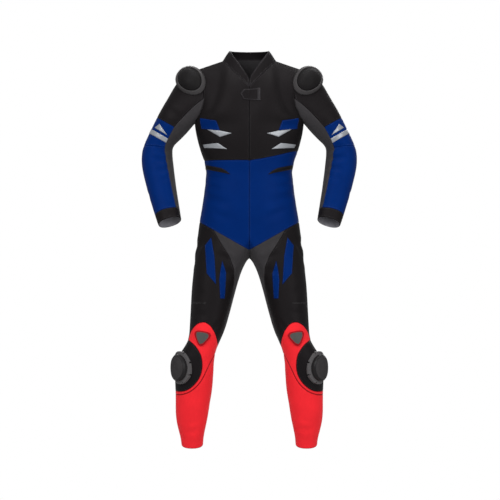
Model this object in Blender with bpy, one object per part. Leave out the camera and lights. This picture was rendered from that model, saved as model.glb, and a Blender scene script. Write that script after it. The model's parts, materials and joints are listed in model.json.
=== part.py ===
"""One-piece motorcycle race suit, hollow and filled out as if worn. Metres, +Z up.

The origin is between the shoulders, level with the foot of the collar. The front faces -Y and +X is
the wearer's left. The whole garment is worked out as one surface of rings: a torso, two sleeves that
start at the armholes and two legs that start at the hip. That surface is cut along the seam lines, and
each panel then gets the thickness of its leather. Appliques lie on the same points, moved out, and the
hard pieces are seated on the surface.
"""

import math
from collections import namedtuple

import bpy
import numpy as np
from mathutils import Vector
from mathutils.bvhtree import BVHTree

# ---------------------------------------------------------------- driving sizes

LEATHER = 0.0020  # wall of the outer leather with its lining
STRETCH = 0.0018  # wall of the woven stretch panels
APPLIQUE = 0.0012  # leather flashes sewn on top of a panel
CLEARANCE = 0.0003  # between neighbouring pieces
ZIP_HALF_WIDTH = 0.0050  # teeth and the tape that shows beside them
SOFTNESS = 2.25  # exponent of the ring sections: 2 is an ellipse, more is squarer

FRONT_COLUMNS = 8  # columns from a centre line to a side seam, front or back
YOKE_ROWS = 8  # rows from the armpit up to the shoulder seam
NECK_COLUMNS = 5  # of the columns, those that end on the neckline
COLLAR_ROWS = 2
CROTCH_STEPS = 3  # points along the crotch line from the front centre to its lowest point
ARMHOLE_FADE = 4.0  # sleeve sections over which the armhole's shape turns into the sleeve's
CROTCH_FADE = 5.0  # leg sections over which the hip's shape turns into the leg's
SLIDE = 0.0055  # a point of the surface this near a seam is moved onto it
SLIDE_SHARE = 0.45  # unless that is more than this share of the way to its neighbour
NEAR = 0.0022  # a seam this near a point that can't be moved runs through the point
CURVE_STEPS = 16  # samples between two points of a smooth curve
NECK_BOW = 0.75  # exponent that rounds the V of the neckline: 1 is a straight V
SHARPEST = 0.25  # the rim of a panel is pulled in no further than this at a pointed corner

# ---------------------------------------------------------------- shape tables

Torso = namedtuple("Torso", "z half_width front back")
TORSO_SECTIONS = (
    Torso(-0.640, 0.187, 0.098, 0.125),
    Torso(-0.605, 0.183, 0.102, 0.124),
    Torso(-0.570, 0.178, 0.106, 0.118),
    Torso(-0.535, 0.172, 0.109, 0.109),
    Torso(-0.500, 0.166, 0.110, 0.099),
    Torso(-0.465, 0.161, 0.110, 0.091),
    Torso(-0.430, 0.157, 0.109, 0.087),
    Torso(-0.395, 0.155, 0.109, 0.087),
    Torso(-0.360, 0.161, 0.113, 0.091),
    Torso(-0.325, 0.174, 0.119, 0.097),
    Torso(-0.290, 0.184, 0.124, 0.104),
    Torso(-0.256, 0.192, 0.126, 0.110),
    Torso(-0.223, 0.197, 0.126, 0.114),
)

# A limb section is given by its outermost and innermost points seen from the front, and by its depth.
Limb = namedtuple("Limb", "out_x out_z in_x in_z centre_y half_depth")
SLEEVE_SECTIONS = (
    Limb(0.195, -0.030, 0.197, -0.223, 0.004, 0.078),
    Limb(0.240, -0.050, 0.207, -0.234, 0.006, 0.076),
    Limb(0.268, -0.086, 0.218, -0.247, 0.008, 0.074),
    Limb(0.290, -0.126, 0.230, -0.260, 0.011, 0.071),
    Limb(0.309, -0.158, 0.242, -0.272, 0.014, 0.069),
    Limb(0.327, -0.190, 0.253, -0.283, 0.017, 0.067),
    Limb(0.344, -0.223, 0.263, -0.292, 0.020, 0.065),
    Limb(0.360, -0.256, 0.271, -0.301, 0.022, 0.063),
    Limb(0.375, -0.288, 0.276, -0.311, 0.022, 0.061),
    Limb(0.385, -0.318, 0.277, -0.326, 0.019, 0.059),
    Limb(0.388, -0.348, 0.276, -0.346, 0.013, 0.058),
    Limb(0.386, -0.378, 0.273, -0.370, 0.004, 0.056),
    Limb(0.380, -0.408, 0.270, -0.396, -0.007, 0.054),
    Limb(0.372, -0.439, 0.266, -0.424, -0.019, 0.052),
    Limb(0.363, -0.471, 0.262, -0.453, -0.032, 0.050),
    Limb(0.353, -0.503, 0.257, -0.483, -0.045, 0.047),
    Limb(0.343, -0.535, 0.252, -0.513, -0.058, 0.045),
    Limb(0.333, -0.565, 0.247, -0.542, -0.071, 0.042),
    Limb(0.324, -0.590, 0.243, -0.566, -0.082, 0.040),
)
LEG_SECTIONS = (
    Limb(0.187, -0.640, 0.000, -0.708, 0.012, 0.110),
    Limb(0.193, -0.680, 0.007, -0.714, 0.010, 0.108),
    Limb(0.197, -0.718, 0.018, -0.732, 0.008, 0.105),
    Limb(0.201, -0.757, 0.031, -0.762, 0.005, 0.102),
    Limb(0.205, -0.795, 0.042, -0.797, 0.001, 0.098),
    Limb(0.208, -0.835, 0.053, -0.836, -0.003, 0.095),
    Limb(0.210, -0.875, 0.063, -0.875, -0.008, 0.091),
    Limb(0.212, -0.915, 0.074, -0.915, -0.013, 0.087),
    Limb(0.214, -0.950, 0.084, -0.950, -0.018, 0.083),
    Limb(0.216, -0.980, 0.095, -0.980, -0.022, 0.079),
    Limb(0.222, -1.007, 0.107, -1.007, -0.025, 0.076),
    Limb(0.237, -1.031, 0.117, -1.030, -0.027, 0.074),
    Limb(0.253, -1.055, 0.124, -1.053, -0.028, 0.073),
    Limb(0.263, -1.080, 0.127, -1.079, -0.027, 0.072),
    Limb(0.267, -1.106, 0.128, -1.106, -0.025, 0.070),
    Limb(0.267, -1.134, 0.130, -1.134, -0.021, 0.068),
    Limb(0.266, -1.163, 0.132, -1.163, -0.016, 0.067),
    Limb(0.265, -1.194, 0.136, -1.194, -0.009, 0.066),
    Limb(0.265, -1.227, 0.142, -1.227, -0.002, 0.065),
    Limb(0.265, -1.261, 0.147, -1.261, 0.006, 0.063),
    Limb(0.262, -1.294, 0.153, -1.294, 0.014, 0.059),
    Limb(0.255, -1.326, 0.160, -1.326, 0.022, 0.054),
    Limb(0.248, -1.354, 0.165, -1.354, 0.029, 0.049),
    Limb(0.245, -1.380, 0.167, -1.380, 0.036, 0.047),
)

# Curves that bound the yoke. Each runs up from the armpit level, or out from the centre.
ARMPIT = (0.197, 0.000, -0.223)
SHOULDER_TIP = (0.195, 0.004, -0.030)
NECK_POINT = (0.097, -0.004, 0.003)
NECK_FRONT = (0.000, -0.086, -0.094)
NECK_BACK = (0.000, 0.066, 0.010)
ARMHOLE_FRONT = (
    ARMPIT,
    (0.191, -0.042, -0.213),
    (0.172, -0.068, -0.180),
    (0.161, -0.074, -0.133),
    (0.168, -0.061, -0.089),
    (0.184, -0.034, -0.053),
    SHOULDER_TIP,
)
ARMHOLE_BACK = (
    ARMPIT,
    (0.192, 0.046, -0.213),
    (0.178, 0.076, -0.180),
    (0.170, 0.084, -0.133),
    (0.175, 0.069, -0.089),
    (0.187, 0.040, -0.053),
    SHOULDER_TIP,
)
CENTRE_FRONT = ((0, -0.126, -0.223), (0, -0.118, -0.180), (0, -0.104, -0.136), NECK_FRONT)
CENTRE_BACK = ((0, 0.114, -0.223), (0, 0.112, -0.165), (0, 0.104, -0.105), (0, 0.090, -0.045), NECK_BACK)
CROTCH_LINE = (
    (0, -0.098, -0.640),
    (0, -0.076, -0.672),
    (0, -0.042, -0.697),
    (0, 0.006, -0.708),
    (0, 0.055, -0.700),
    (0, 0.100, -0.676),
    (0, 0.125, -0.640),
)
COLLAR_FRONT_TOP = (0.000, -0.074, -0.061)
COLLAR_SIDE_TOP = (0.071, -0.002, 0.040)
COLLAR_BACK_TOP = (0.000, 0.058, 0.040)
COLLAR_SPREAD = 0.001  # how far the middle of the collar stands out

# ---------------------------------------------------------------- seam lines

# Height of the seam between the black chest and the blue belly, across the body.
CHEST_SEAM = ((-0.20, -0.357), (0.02, -0.357), (0.10, -0.340), (0.16, -0.324), (0.20, -0.322))
# The belly ends in a point at the front and in a shallower one at the back: (distance from the centre, z).
HIP_SEAM_FRONT = ((0.000, -0.677), (0.130, -0.604), (0.178, -0.577), (0.300, -0.577))
HIP_SEAM_BACK = ((0.000, -0.634), (0.178, -0.577), (0.300, -0.577))
# Outer edge of the stretch gusset, from the hip down the inner thigh: (z, distance from the centre).
GUSSET_EDGE_FRONT = (
    (-1.030, 0.108),
    (-0.958, 0.093),
    (-0.900, 0.076),
    (-0.842, 0.060),
    (-0.785, 0.051),
    (-0.735, 0.056),
    (-0.695, 0.072),
    (-0.659, 0.097),
    (-0.604, 0.130),
    (-0.577, 0.131),
)
GUSSET_EDGE_BACK = (
    (-1.030, 0.108),
    (-0.958, 0.098),
    (-0.900, 0.083),
    (-0.842, 0.068),
    (-0.785, 0.056),
    (-0.735, 0.045),
    (-0.705, 0.034),
    (-0.672, 0.000),
    (-0.577, -0.100),
)
# Half the angle that the stretch strip under a sleeve covers, at each sleeve section.
STRIP_ANGLE = ((0, 88), (1, 83), (2, 77), (3, 73), (5, 69), (8, 65), (10, 57), (12, 52), (15, 45), (18, 32))
ALONG_SLEEVE = (0.500, -0.866)  # the way the sleeve runs at its band, as (x, z) from the front
SLEEVE_BAND_START = 0.340  # how far along the sleeve the black of the shoulder ends, straight across
SLEEVE_STRIPE = (0.386, 0.403)  # and where the silver stripe runs round it
ELBOW_SEAM = 8.6
CUFF_SEAM = 16.7
# The red frame over the knee is an arch seen from the front, and the knee panel inside it an ellipse.
ARCH_CENTRE = (0.164, -1.030)
ARCH_RADIUS_OUT = 0.058
ARCH_RADIUS_IN = 0.052
ARCH_HEIGHT = 0.098
ARCH_FOOT = 0.040  # below its centre the arch spreads to the whole front over this height
KNEE_CENTRE = (0.250, -1.088)
KNEE_RADII = (0.084, 0.095)
# Seam between the knee frame and the shin: (distance from the centre, z).
SHIN_SEAM = (
    (0.125, -1.050),
    (0.146, -1.091),
    (0.163, -1.133),
    (0.188, -1.166),
    (0.216, -1.187),
    (0.245, -1.195),
)
BACK_KNEE_Z = -1.050  # where the black thigh meets the red calf behind the knee

# ---------------------------------------------------------------- flashes, corners in (x, z) from the front

Flash = namedtuple("Flash", "region name finish corners")
FLASHES = (
    Flash("chest_front", "chest_flash", "blue_leather",
          ((0.104, -0.252), (0.118, -0.216), (0.176, -0.206), (0.172, -0.244))),
    Flash("chest_front", "chest_dart", "silver_leather",
          ((0.062, -0.262), (0.104, -0.252), (0.150, -0.247), (0.104, -0.275))),
    Flash("chest_front", "rib_dart", "silver_leather",
          ((0.078, -0.318), (0.112, -0.296), (0.166, -0.300), (0.160, -0.312))),
    Flash("belly_front", "waist_dart", "black_leather",
          ((0.050, -0.412), (0.100, -0.384), (0.155, -0.372), (0.156, -0.388))),
    Flash("thigh_front", "thigh_flash", "blue_leather",
          ((0.118, -0.800), (0.124, -0.700), (0.136, -0.632), (0.158, -0.660), (0.152, -0.760))),
    Flash("thigh_front", "thigh_dart", "blue_leather",
          ((0.088, -0.850), (0.082, -0.760), (0.096, -0.716), (0.108, -0.770), (0.104, -0.850))),
)
# The dart on a sleeve: corners in (distance along the sleeve, angle from the inner line).
SLEEVE_DART = ((0.3770, 76.0), (0.3770, 140.0), (0.3550, 122.0))
NECK_TAB = ((-0.031, -0.121), (-0.020, -0.105), (0.041, -0.102), (0.041, -0.146), (-0.020, -0.141))
TAB_THICKNESS = 0.0022
SIDES = (("left", 1.0), ("right", -1.0))

# ---------------------------------------------------------------- hard pieces

# A seat is the frame of a hard piece: its middle as (x, z) from the front, the way it faces, the way its
# length runs, its two half sizes, and the radii that it is bent to along its length and across it.
Seat = namedtuple("Seat", "x z facing along half_along half_across bend_along bend_across")
SHOULDER = Seat(0.209, -0.071, (0.33, -0.86, 0.39), (1.0, 0.84, 1.0), 0.067, 0.049, 0.120, 0.120)
KNEE = Seat(0.246, -1.097, (0.72, -0.69, 0.0), (0.0, 0.0, 1.0), 0.060, 0.047, 0.500, 0.066)
BADGE = Seat(0.168, -0.988, (0.10, -1.0, 0.12), (0.0, 0.0, 1.0), 0.0220, 0.0230, 0.400, 0.080)
SEAT_GAP = 0.0009  # between a hard piece's underside and the highest leather near each of its points
SEAT_NEAR = 0.006  # how near that leather is
SEAT_SPOKES = 24  # directions and shares of its size in which a seat is tried, to find how high it lies
SEAT_SHARES = (0.0, 0.25, 0.5, 0.75, 1.0)
PROBE = 0.1  # how far over a seat the leather is looked for

# Profiles: height above the bent frame at each share of the half sizes, from the middle out.
Profile = namedtuple("Profile", "share height")
SHOULDER_CUP = (Profile(0.0, 0.0220), Profile(0.36, 0.0205), Profile(0.62, 0.0155), Profile(0.785, 0.0085))
SHOULDER_RING = (Profile(0.80, 0.0075), Profile(0.88, 0.0110), Profile(1.0, 0.0040))
SHOULDER_SKIRT = 0.010  # how far the shoulder pieces reach below their bent frame
SHOULDER_SPOKES = 24
SLIDER_SHARE = 0.80  # half size of the knee slider, as a share of its backing
BACKING_HEIGHT = 0.004
BACKING = tuple(Profile(share, BACKING_HEIGHT) for share in (0.0, SLIDER_SHARE / 2, SLIDER_SHARE, 1.0))
BACKING_SKIRT = 0.006
BACKING_NOTCHES = 8
NOTCH_START = math.radians(160)  # where the first notch is
NOTCH_DEPTH = 0.11  # as a share of the half size
NOTCH_FLOOR = 0.055  # half the floor of a notch and half its mouth, as shares of the way to the next one
NOTCH_MOUTH = 0.070
SLIDER_PROFILE = (
    Profile(0.0, 0.0240),
    Profile(SLIDER_SHARE * 0.50, 0.0237),
    Profile(SLIDER_SHARE * 0.88, 0.0222),
    Profile(SLIDER_SHARE, 0.0160),
)
SLIDER_SPOKES = 20
SLIDER_GAP = 0.0006  # between the slider and the backing that it is stuck to
BADGE_PROFILE = (Profile(0.0, 0.0030), Profile(0.86, 0.0027), Profile(1.0, 0.0012))
BADGE_SKIRT = 0.006
BADGE_SPOKES = 24
BADGE_TURN = math.radians(40)  # from the badge's side to its first corner

# ---------------------------------------------------------------- finishes, with linear colours

Finish = namedtuple("Finish", "colour roughness metallic")
FINISHES = {
    "black_leather": Finish((0.014, 0.012, 0.013, 1.0), 0.50, 0.0),
    "blue_leather": Finish((0.001, 0.024, 0.147, 1.0), 0.46, 0.0),
    "red_leather": Finish((0.871, 0.031, 0.041, 1.0), 0.46, 0.0),
    "silver_leather": Finish((0.402, 0.407, 0.423, 1.0), 0.38, 0.2),
    "stretch_cloth": Finish((0.037, 0.034, 0.036, 1.0), 0.85, 0.0),
    "black_plastic": Finish((0.012, 0.012, 0.012, 1.0), 0.35, 0.0),
    "grey_plastic": Finish((0.070, 0.070, 0.066, 1.0), 0.45, 0.0),
    "zip_teeth": Finish((0.100, 0.100, 0.100, 1.0), 0.35, 0.5),
}

# ---------------------------------------------------------------- panels: what regions each is cut from

Panel = namedtuple("Panel", "name regions finish wall paired")
PANELS = (
    Panel("chest", ("chest_front",), "black_leather", LEATHER, True),
    Panel("belly", ("belly_front",), "blue_leather", LEATHER, True),
    Panel("back_upper", ("chest_back",), "black_leather", LEATHER, False),
    Panel("back_lower", ("belly_back",), "blue_leather", LEATHER, False),
    Panel("collar", ("collar",), "black_leather", LEATHER, False),
    Panel("front_zip", ("zip",), "zip_teeth", LEATHER, False),
    Panel("gusset", ("gusset",), "stretch_cloth", STRETCH, True),
    Panel("thigh", ("thigh_front",), "black_leather", LEATHER, True),
    Panel("seat", ("thigh_back",), "black_leather", LEATHER, True),
    Panel("knee_frame", ("frame",), "red_leather", LEATHER, True),
    Panel("knee_panel", ("knee",), "black_leather", LEATHER, True),
    Panel("shin", ("shin",), "red_leather", LEATHER, True),
    Panel("calf", ("calf",), "red_leather", LEATHER, True),
    Panel("sleeve_top", ("sleeve_front", "sleeve_back"), "black_leather", LEATHER, True),
    Panel("arm_band", ("band_front", "band_back"), "blue_leather", LEATHER, True),
    Panel("forearm", ("forearm",), "blue_leather", LEATHER, True),
    Panel("sleeve_strip", ("strip",), "stretch_cloth", STRETCH, True),
    Panel("cuff", ("cuff",), "black_leather", LEATHER, True),
)


# ---------------------------------------------------------------- curves and rings


def curve(points, steps):
    """steps + 1 points, evenly spaced along a smooth curve through the given ones."""
    p = np.array(points, float)
    p = np.vstack([2 * p[0] - p[1], p, 2 * p[-1] - p[-2]])
    fine = []
    for a, b, c, d in zip(p, p[1:], p[2:], p[3:]):
        for t in np.linspace(0, 1, CURVE_STEPS, endpoint=False):
            linear = 2 * b + (c - a) * t
            bent = (2 * a - 5 * b + 4 * c - d) * t**2 + (3 * b - a - 3 * c + d) * t**3
            fine.append((linear + bent) / 2)
    fine = np.array(fine + [p[-2]])
    run = np.concatenate([[0], np.cumsum(np.linalg.norm(np.diff(fine, axis=0), axis=1))])
    wanted = np.linspace(0, run[-1], steps + 1)
    return np.stack([np.interp(wanted, run, fine[:, axis]) for axis in range(3)], axis=1)


def read_table(table, value):
    """The table's second column at a value of its first."""
    keys, values = zip(*sorted(table))
    return float(np.interp(value, keys, values))


def soft_circle(angle):
    """(across, deep) on a unit ring section, which is a little squarer than a circle."""
    c, s = math.cos(angle), math.sin(angle)
    power = 2 / SOFTNESS
    return math.copysign(abs(c) ** power, c), math.copysign(abs(s) ** power, s)


def torso_row(section, facing):
    """A torso section from the centre line to the side seam. facing is -1 at the front, 1 at the back."""
    depth = section.front if facing < 0 else section.back
    row = []
    for i in range(FRONT_COLUMNS + 1):
        across, deep = soft_circle(math.pi / 2 * (1 - i / FRONT_COLUMNS))
        row.append((section.half_width * across, facing * depth * deep, section.z))
    return np.array(row)


def limb_rings(sections, angles):
    """The points of each limb section, at angles from the outer line through the front."""
    outer = np.array([(s.out_x, s.centre_y, s.out_z) for s in sections])
    inner = np.array([(s.in_x, s.centre_y, s.in_z) for s in sections])
    centre = (outer + inner) / 2
    along = np.gradient(centre, axis=0)
    rings = []
    for k, section in enumerate(sections):
        across = (outer[k] - inner[k]) / 2
        deep = np.cross(along[k], across)
        deep *= -math.copysign(section.half_depth, deep[1]) / np.linalg.norm(deep)
        shares = [soft_circle(angle) for angle in angles]
        rings.append(np.array([centre[k] + across * a + deep * b for a, b in shares]))
    return rings


def fade_from(loop, rings, fade):
    """Rings that start on a loop and take their own shape over the first few sections."""
    start = loop - rings[0]
    made = []
    for k, ring in enumerate(rings):
        share = math.cos(math.pi / 2 * min(1.0, k / fade)) ** 2
        made.append(ring + start * share)
    return made


def fill(bottom, top, centre, side):
    """Rows of points between four boundary curves."""
    rows = []
    for v, left, right in zip(np.linspace(0, 1, len(side)), centre, side):
        row = []
        for u, low, high in zip(np.linspace(0, 1, len(bottom)), bottom, top):
            first, last = (1 - v) * bottom[0] + v * top[0], (1 - v) * bottom[-1] + v * top[-1]
            sides = (1 - u) * (left - first) + u * (right - last)
            row.append((1 - v) * low + v * high + sides)
        rows.append(np.array(row))
    return rows


def neck_edge(facing, front, side, back):
    """The neckline, or the collar's top, from its centre to the side of the neck."""
    edge = []
    for t in np.linspace(0, 1, NECK_COLUMNS + 1):
        if facing < 0:
            bow = (1 - t * t) ** NECK_BOW
            x, z = side[0] * t, front[2] + (side[2] - front[2]) * t
            y = side[1] + (front[1] - side[1]) * bow
        else:
            c, s = math.cos(math.pi / 2 * t), math.sin(math.pi / 2 * t)
            x, y, z = side[0] * s, side[1] + (back[1] - side[1]) * c, side[2] + (back[2] - side[2]) * c
        edge.append((x, y, z))
    return np.array(edge)


# ---------------------------------------------------------------- the garment's surface


class Surface:
    """Points with their place on a limb, and faces, each with the region and the side that it is in."""

    def __init__(self):
        self.points, self.station, self.around = [], [], []
        self.faces, self.tags = [], []
        self.found = {}

    def point(self, place, station=0.0, around=0.0):
        """The number of the point at a place, which is made if it isn't there yet."""
        key = tuple(int(round(float(c) * 1e5)) for c in place)
        if key not in self.found:
            self.found[key] = self.add(np.array(place, float), station, around)
        return self.found[key]

    def add(self, place, station, around):
        self.points.append(place)
        self.station.append(station)
        self.around.append(around)
        return len(self.points) - 1

    def grid(self, rows, region, flip=False):
        """Faces between neighbouring rows of point numbers."""
        for low, high in zip(rows, rows[1:]):
            for a, b, c, d in zip(low, low[1:], high[1:], high):
                self.faces.append([d, c, b, a] if flip else [a, b, c, d])
                self.tags.append((region, ""))

    def mirrored(self):
        """This half and its mirror image, with the centre line shared."""
        whole = Surface()
        for side, sign in SIDES:
            number = []
            for place, station, around in zip(self.points, self.station, self.around):
                number.append(whole.point(place * (sign, 1, 1), station, around))
            for face, (region, _) in zip(self.faces, self.tags):
                loop = [number[i] for i in face]
                whole.faces.append(loop if sign > 0 else loop[::-1])
                whole.tags.append((region, side))
        return whole

    def split(self, field, region, inside):
        """Cuts a region along field = 0. What lies where the field is positive becomes the region inside.

        A point near the cut slides onto it, along an edge that leaves the seams through the point whole.
        """
        picked = {i for i, tag in enumerate(self.tags) if tag[0] == region}
        value = {v: field(self, v) for i in picked for v in self.faces[i]}
        edges = sorted({tuple(sorted(e)) for i in picked for e in ring_edges(self.faces[i])})
        meeting = [set() for _ in self.points]
        for face, tag in zip(self.faces, self.tags):
            for v in face:
                meeting[v].add(tag)
        for a, b in edges:
            for near, far in ((a, b), (b, a)):
                if value[a] * value[b] < 0:
                    share = value[near] / (value[near] - value[far])
                    reach = share * np.linalg.norm(self.points[a] - self.points[b])
                    if reach < SLIDE and share < SLIDE_SHARE and meeting[near] <= meeting[far]:
                        self.slide(near, far, share)
                        value[near] = 0.0
                    elif reach < NEAR:
                        value[near] = 0.0
        middle = {}
        for a, b in edges:
            if value[a] * value[b] < 0:
                middle[a, b] = self.between(a, b, value[a] / (value[a] - value[b]))
        faces, tags = [], []
        for i, (face, tag) in enumerate(zip(self.faces, self.tags)):
            loop = []
            for a, b in ring_edges(face):
                loop += [a] + [middle[e] for e in ((a, b), (b, a)) if e in middle]
            parts = [(loop, tag)]
            if i in picked:
                high = [v for v in loop if value.get(v, 0.0) >= 0]
                low = [v for v in loop if value.get(v, 0.0) <= 0]
                parts = []
                if any(value.get(v, 0.0) > 0 for v in loop):
                    parts.append((high, (inside, tag[1])))
                if len(parts) == 0 or any(value.get(v, 0.0) < 0 for v in loop):
                    parts.append((low, tag))
            faces += [part[0] for part in parts]
            tags += [part[1] for part in parts]
        self.faces, self.tags = faces, tags

    def mix(self, a, b, share):
        """The place, section and angle at a share of the way from a to b."""
        return [one[a] * (1 - share) + one[b] * share for one in (self.points, self.station, self.around)]

    def between(self, a, b, share):
        """A new point on the edge from a to b."""
        return self.add(*self.mix(a, b, share))

    def slide(self, a, b, share):
        self.points[a], self.station[a], self.around[a] = self.mix(a, b, share)

    def split_outline(self, region, inside, corners, place):
        """Cuts a convex outline out of a region. place gives the two coordinates of its corners."""
        corners = np.array(corners)
        low, high = corners.min(axis=0), corners.max(axis=0)
        for i, face in enumerate(self.faces):
            spots = np.array([place(self, v) for v in face])
            near = (spots.max(axis=0) > low).all() and (spots.min(axis=0) < high).all()
            if near and self.tags[i][0] == region:
                self.tags[i] = (inside, self.tags[i][1])
        turn = math.copysign(1, area_of(corners))
        for start, end in ring_edges(list(corners)):
            across = np.array((end[1] - start[1], start[0] - end[0])) * turn / np.linalg.norm(end - start)
            self.split(lambda s, v: float(np.dot(place(s, v) - start, across)), inside, region)

    def triangulate(self):
        """Turns each face into triangles, so that what lies on the surface can follow it exactly."""
        faces, tags = [], []
        for face, tag in zip(self.faces, self.tags):
            for corners in best_triangles([self.points[i] for i in face]):
                faces.append([face[c] for c in corners])
                tags.append(tag)
        self.faces, self.tags = faces, tags

    def normals(self):
        """A normal at each point, halfway between the faces around it even at a sharp fold."""
        total = np.zeros((len(self.points), 3))
        for face in self.faces:
            for before, at, after in zip(face[-1:] + face[:-1], face, face[1:] + face[:1]):
                one, other = self.points[after] - self.points[at], self.points[before] - self.points[at]
                turned = np.cross(one, other)
                size = np.linalg.norm(turned)
                total[at] += turned / size * math.atan2(size, float(np.dot(one, other)))
        return total / np.linalg.norm(total, axis=1, keepdims=True)

    def faces_of(self, regions, side=None):
        """The faces of some regions and of what is cut out of them, such as a flash."""
        return [f for f, tag in zip(self.faces, self.tags)
                if tag[0].split(":")[0] in regions and side in (None, tag[1])]


def ring_edges(loop):
    return list(zip(loop, loop[1:] + loop[:1]))


def area_of(corners):
    """Twice the signed area of a flat outline."""
    return sum(a[0] * b[1] - b[0] * a[1] for a, b in ring_edges(list(corners)))


def best_triangles(places):
    """Splits a small outline into triangles, so that its thinnest triangle is as wide as it can be."""
    count = len(places)
    facing = sum(np.cross(places[i] - places[0], places[i + 1] - places[0]) for i in range(1, count - 1))
    best = {(i, i + 1): (math.inf, []) for i in range(count)}
    for span in range(2, count):
        for i in range(count - span):
            j = i + span
            options = []
            for k in range(i + 1, j):
                sides = places[k] - places[i], places[j] - places[k], places[i] - places[j]
                width = np.dot(np.cross(sides[0], sides[1]), facing) / max(np.dot(s, s) for s in sides)
                thinnest = min(width, best[i, k][0], best[k, j][0])
                options.append((thinnest, best[i, k][1] + best[k, j][1] + [(i, k, j)]))
            best[i, j] = max(options, key=lambda option: option[0])
    return best[0, count - 1][1]


def half_surface():
    """The wearer's left half: half of the torso, the yoke and the collar, a sleeve and a leg."""
    half = Surface()
    armhole, hip = {}, {}
    for facing, name, armhole_curve, centre in (
        (-1, "front", ARMHOLE_FRONT, CENTRE_FRONT),
        (1, "back", ARMHOLE_BACK, CENTRE_BACK),
    ):
        neckline = neck_edge(facing, NECK_FRONT, NECK_POINT, NECK_BACK)
        shoulder = np.linspace(NECK_POINT, SHOULDER_TIP, FRONT_COLUMNS - NECK_COLUMNS + 1)[1:]
        rows = [torso_row(section, facing) for section in TORSO_SECTIONS]
        top = np.vstack([neckline, shoulder])
        yoke = fill(rows[-1], top, curve(centre, YOKE_ROWS), curve(armhole_curve, YOKE_ROWS))
        numbers = [[half.point(p) for p in row] for row in rows + yoke[1:]]
        half.grid(numbers, f"torso_{name}", flip=facing > 0)
        armhole[facing] = [row[-1] for row in numbers[len(rows) - 1:]][::-1]
        hip[facing] = numbers[0][::-1]
        add_collar(half, facing, neckline)
    add_limb(half, "sleeve", SLEEVE_SECTIONS, armhole[-1], armhole[1], ARMHOLE_FADE)
    low = [half.point(p) for p in curve(CROTCH_LINE, 2 * CROTCH_STEPS)]
    front = hip[-1] + low[1:CROTCH_STEPS + 1]
    back = hip[1] + low[-2:CROTCH_STEPS - 1:-1]
    add_limb(half, "thigh", LEG_SECTIONS, front, back, CROTCH_FADE)
    return half


def add_collar(half, facing, neckline):
    """The stand of the collar. Its two ends meet at the front without joining."""
    top = neck_edge(facing, COLLAR_FRONT_TOP, COLLAR_SIDE_TOP, COLLAR_BACK_TOP)
    rows = []
    for t in np.linspace(0, 1, COLLAR_ROWS + 1):
        row = neckline * (1 - t) + top * t
        spread = COLLAR_SPREAD * math.sin(math.pi * t)
        row += np.array([(x, y, 0) / (np.hypot(x, y) + 1e-9) for x, y, _ in row]) * spread
        if facing < 0 and t > 0:
            row[0][0] = CLEARANCE / 2
        rows.append([half.point(p) for p in row])
    half.grid(rows, "collar", flip=facing > 0)


def add_limb(half, name, sections, front, back, fade):
    """A tube from a loop of points on the torso. front and back run from the outer to the inner line."""
    steps = len(front) - 1
    loop = front + back[-2:0:-1]
    angles = [math.pi * i / steps for i in range(2 * steps)]
    rings = fade_from(np.array([half.points[i] for i in loop]), limb_rings(sections, angles), fade)
    rows = []
    for k, ring in enumerate(rings):
        row = list(loop) if k == 0 else [half.point(place) for place in ring]
        for number, angle in zip(row, angles):
            half.station[number] = float(k)
            half.around[number] = abs(180.0 - math.degrees(angle))
        rows.append(row)
    half.grid([row[:steps + 1] for row in rows], f"{name}_front")
    half.grid([row[steps:] + row[:1] for row in rows], f"{name}_back")


# ---------------------------------------------------------------- seams


def above(table, signed=False):
    """A field that is positive above a seam whose height is given across the body."""
    def field(surface, v):
        x, _, z = surface.points[v]
        return z - read_table(table, x if signed else abs(x))
    return field


def below(table):
    return lambda surface, v: -above(table)(surface, v)


def past_section(section):
    return lambda surface, v: surface.station[v] - section


def inside_gusset(table):
    return lambda surface, v: read_table(table, surface.points[v][2]) - abs(surface.points[v][0])


def in_sleeve_strip(surface, v):
    return read_table(STRIP_ANGLE, surface.station[v]) - surface.around[v]


def in_zip(surface, v):
    return ZIP_HALF_WIDTH - abs(surface.points[v][0])


def in_knee(surface, v):
    x, _, z = surface.points[v]
    return 1 - math.hypot((abs(x) - KNEE_CENTRE[0]) / KNEE_RADII[0], (z - KNEE_CENTRE[1]) / KNEE_RADII[1])


def in_knee_arch(surface, v):
    x, _, z = surface.points[v]
    across, up = abs(x) - ARCH_CENTRE[0], z - ARCH_CENTRE[1]
    across /= ARCH_RADIUS_OUT if across > 0 else ARCH_RADIUS_IN
    across *= min(1.0, max(0.0, 1 + up / ARCH_FOOT))
    return 1 - math.hypot(across, max(0.0, up) / ARCH_HEIGHT)


def behind_knee(surface, v):
    return BACK_KNEE_Z - surface.points[v][2]


def from_front(surface, v):
    return np.array((abs(surface.points[v][0]), surface.points[v][2]))


def from_front_signed(surface, v):
    return np.array((surface.points[v][0], surface.points[v][2]))


def along_sleeve(surface, v):
    x, _, z = surface.points[v]
    return abs(x) * ALONG_SLEEVE[0] + z * ALONG_SLEEVE[1]


def past_along(distance):
    return lambda surface, v: along_sleeve(surface, v) - distance


def on_sleeve(surface, v):
    return np.array((along_sleeve(surface, v), surface.around[v]))


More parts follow.
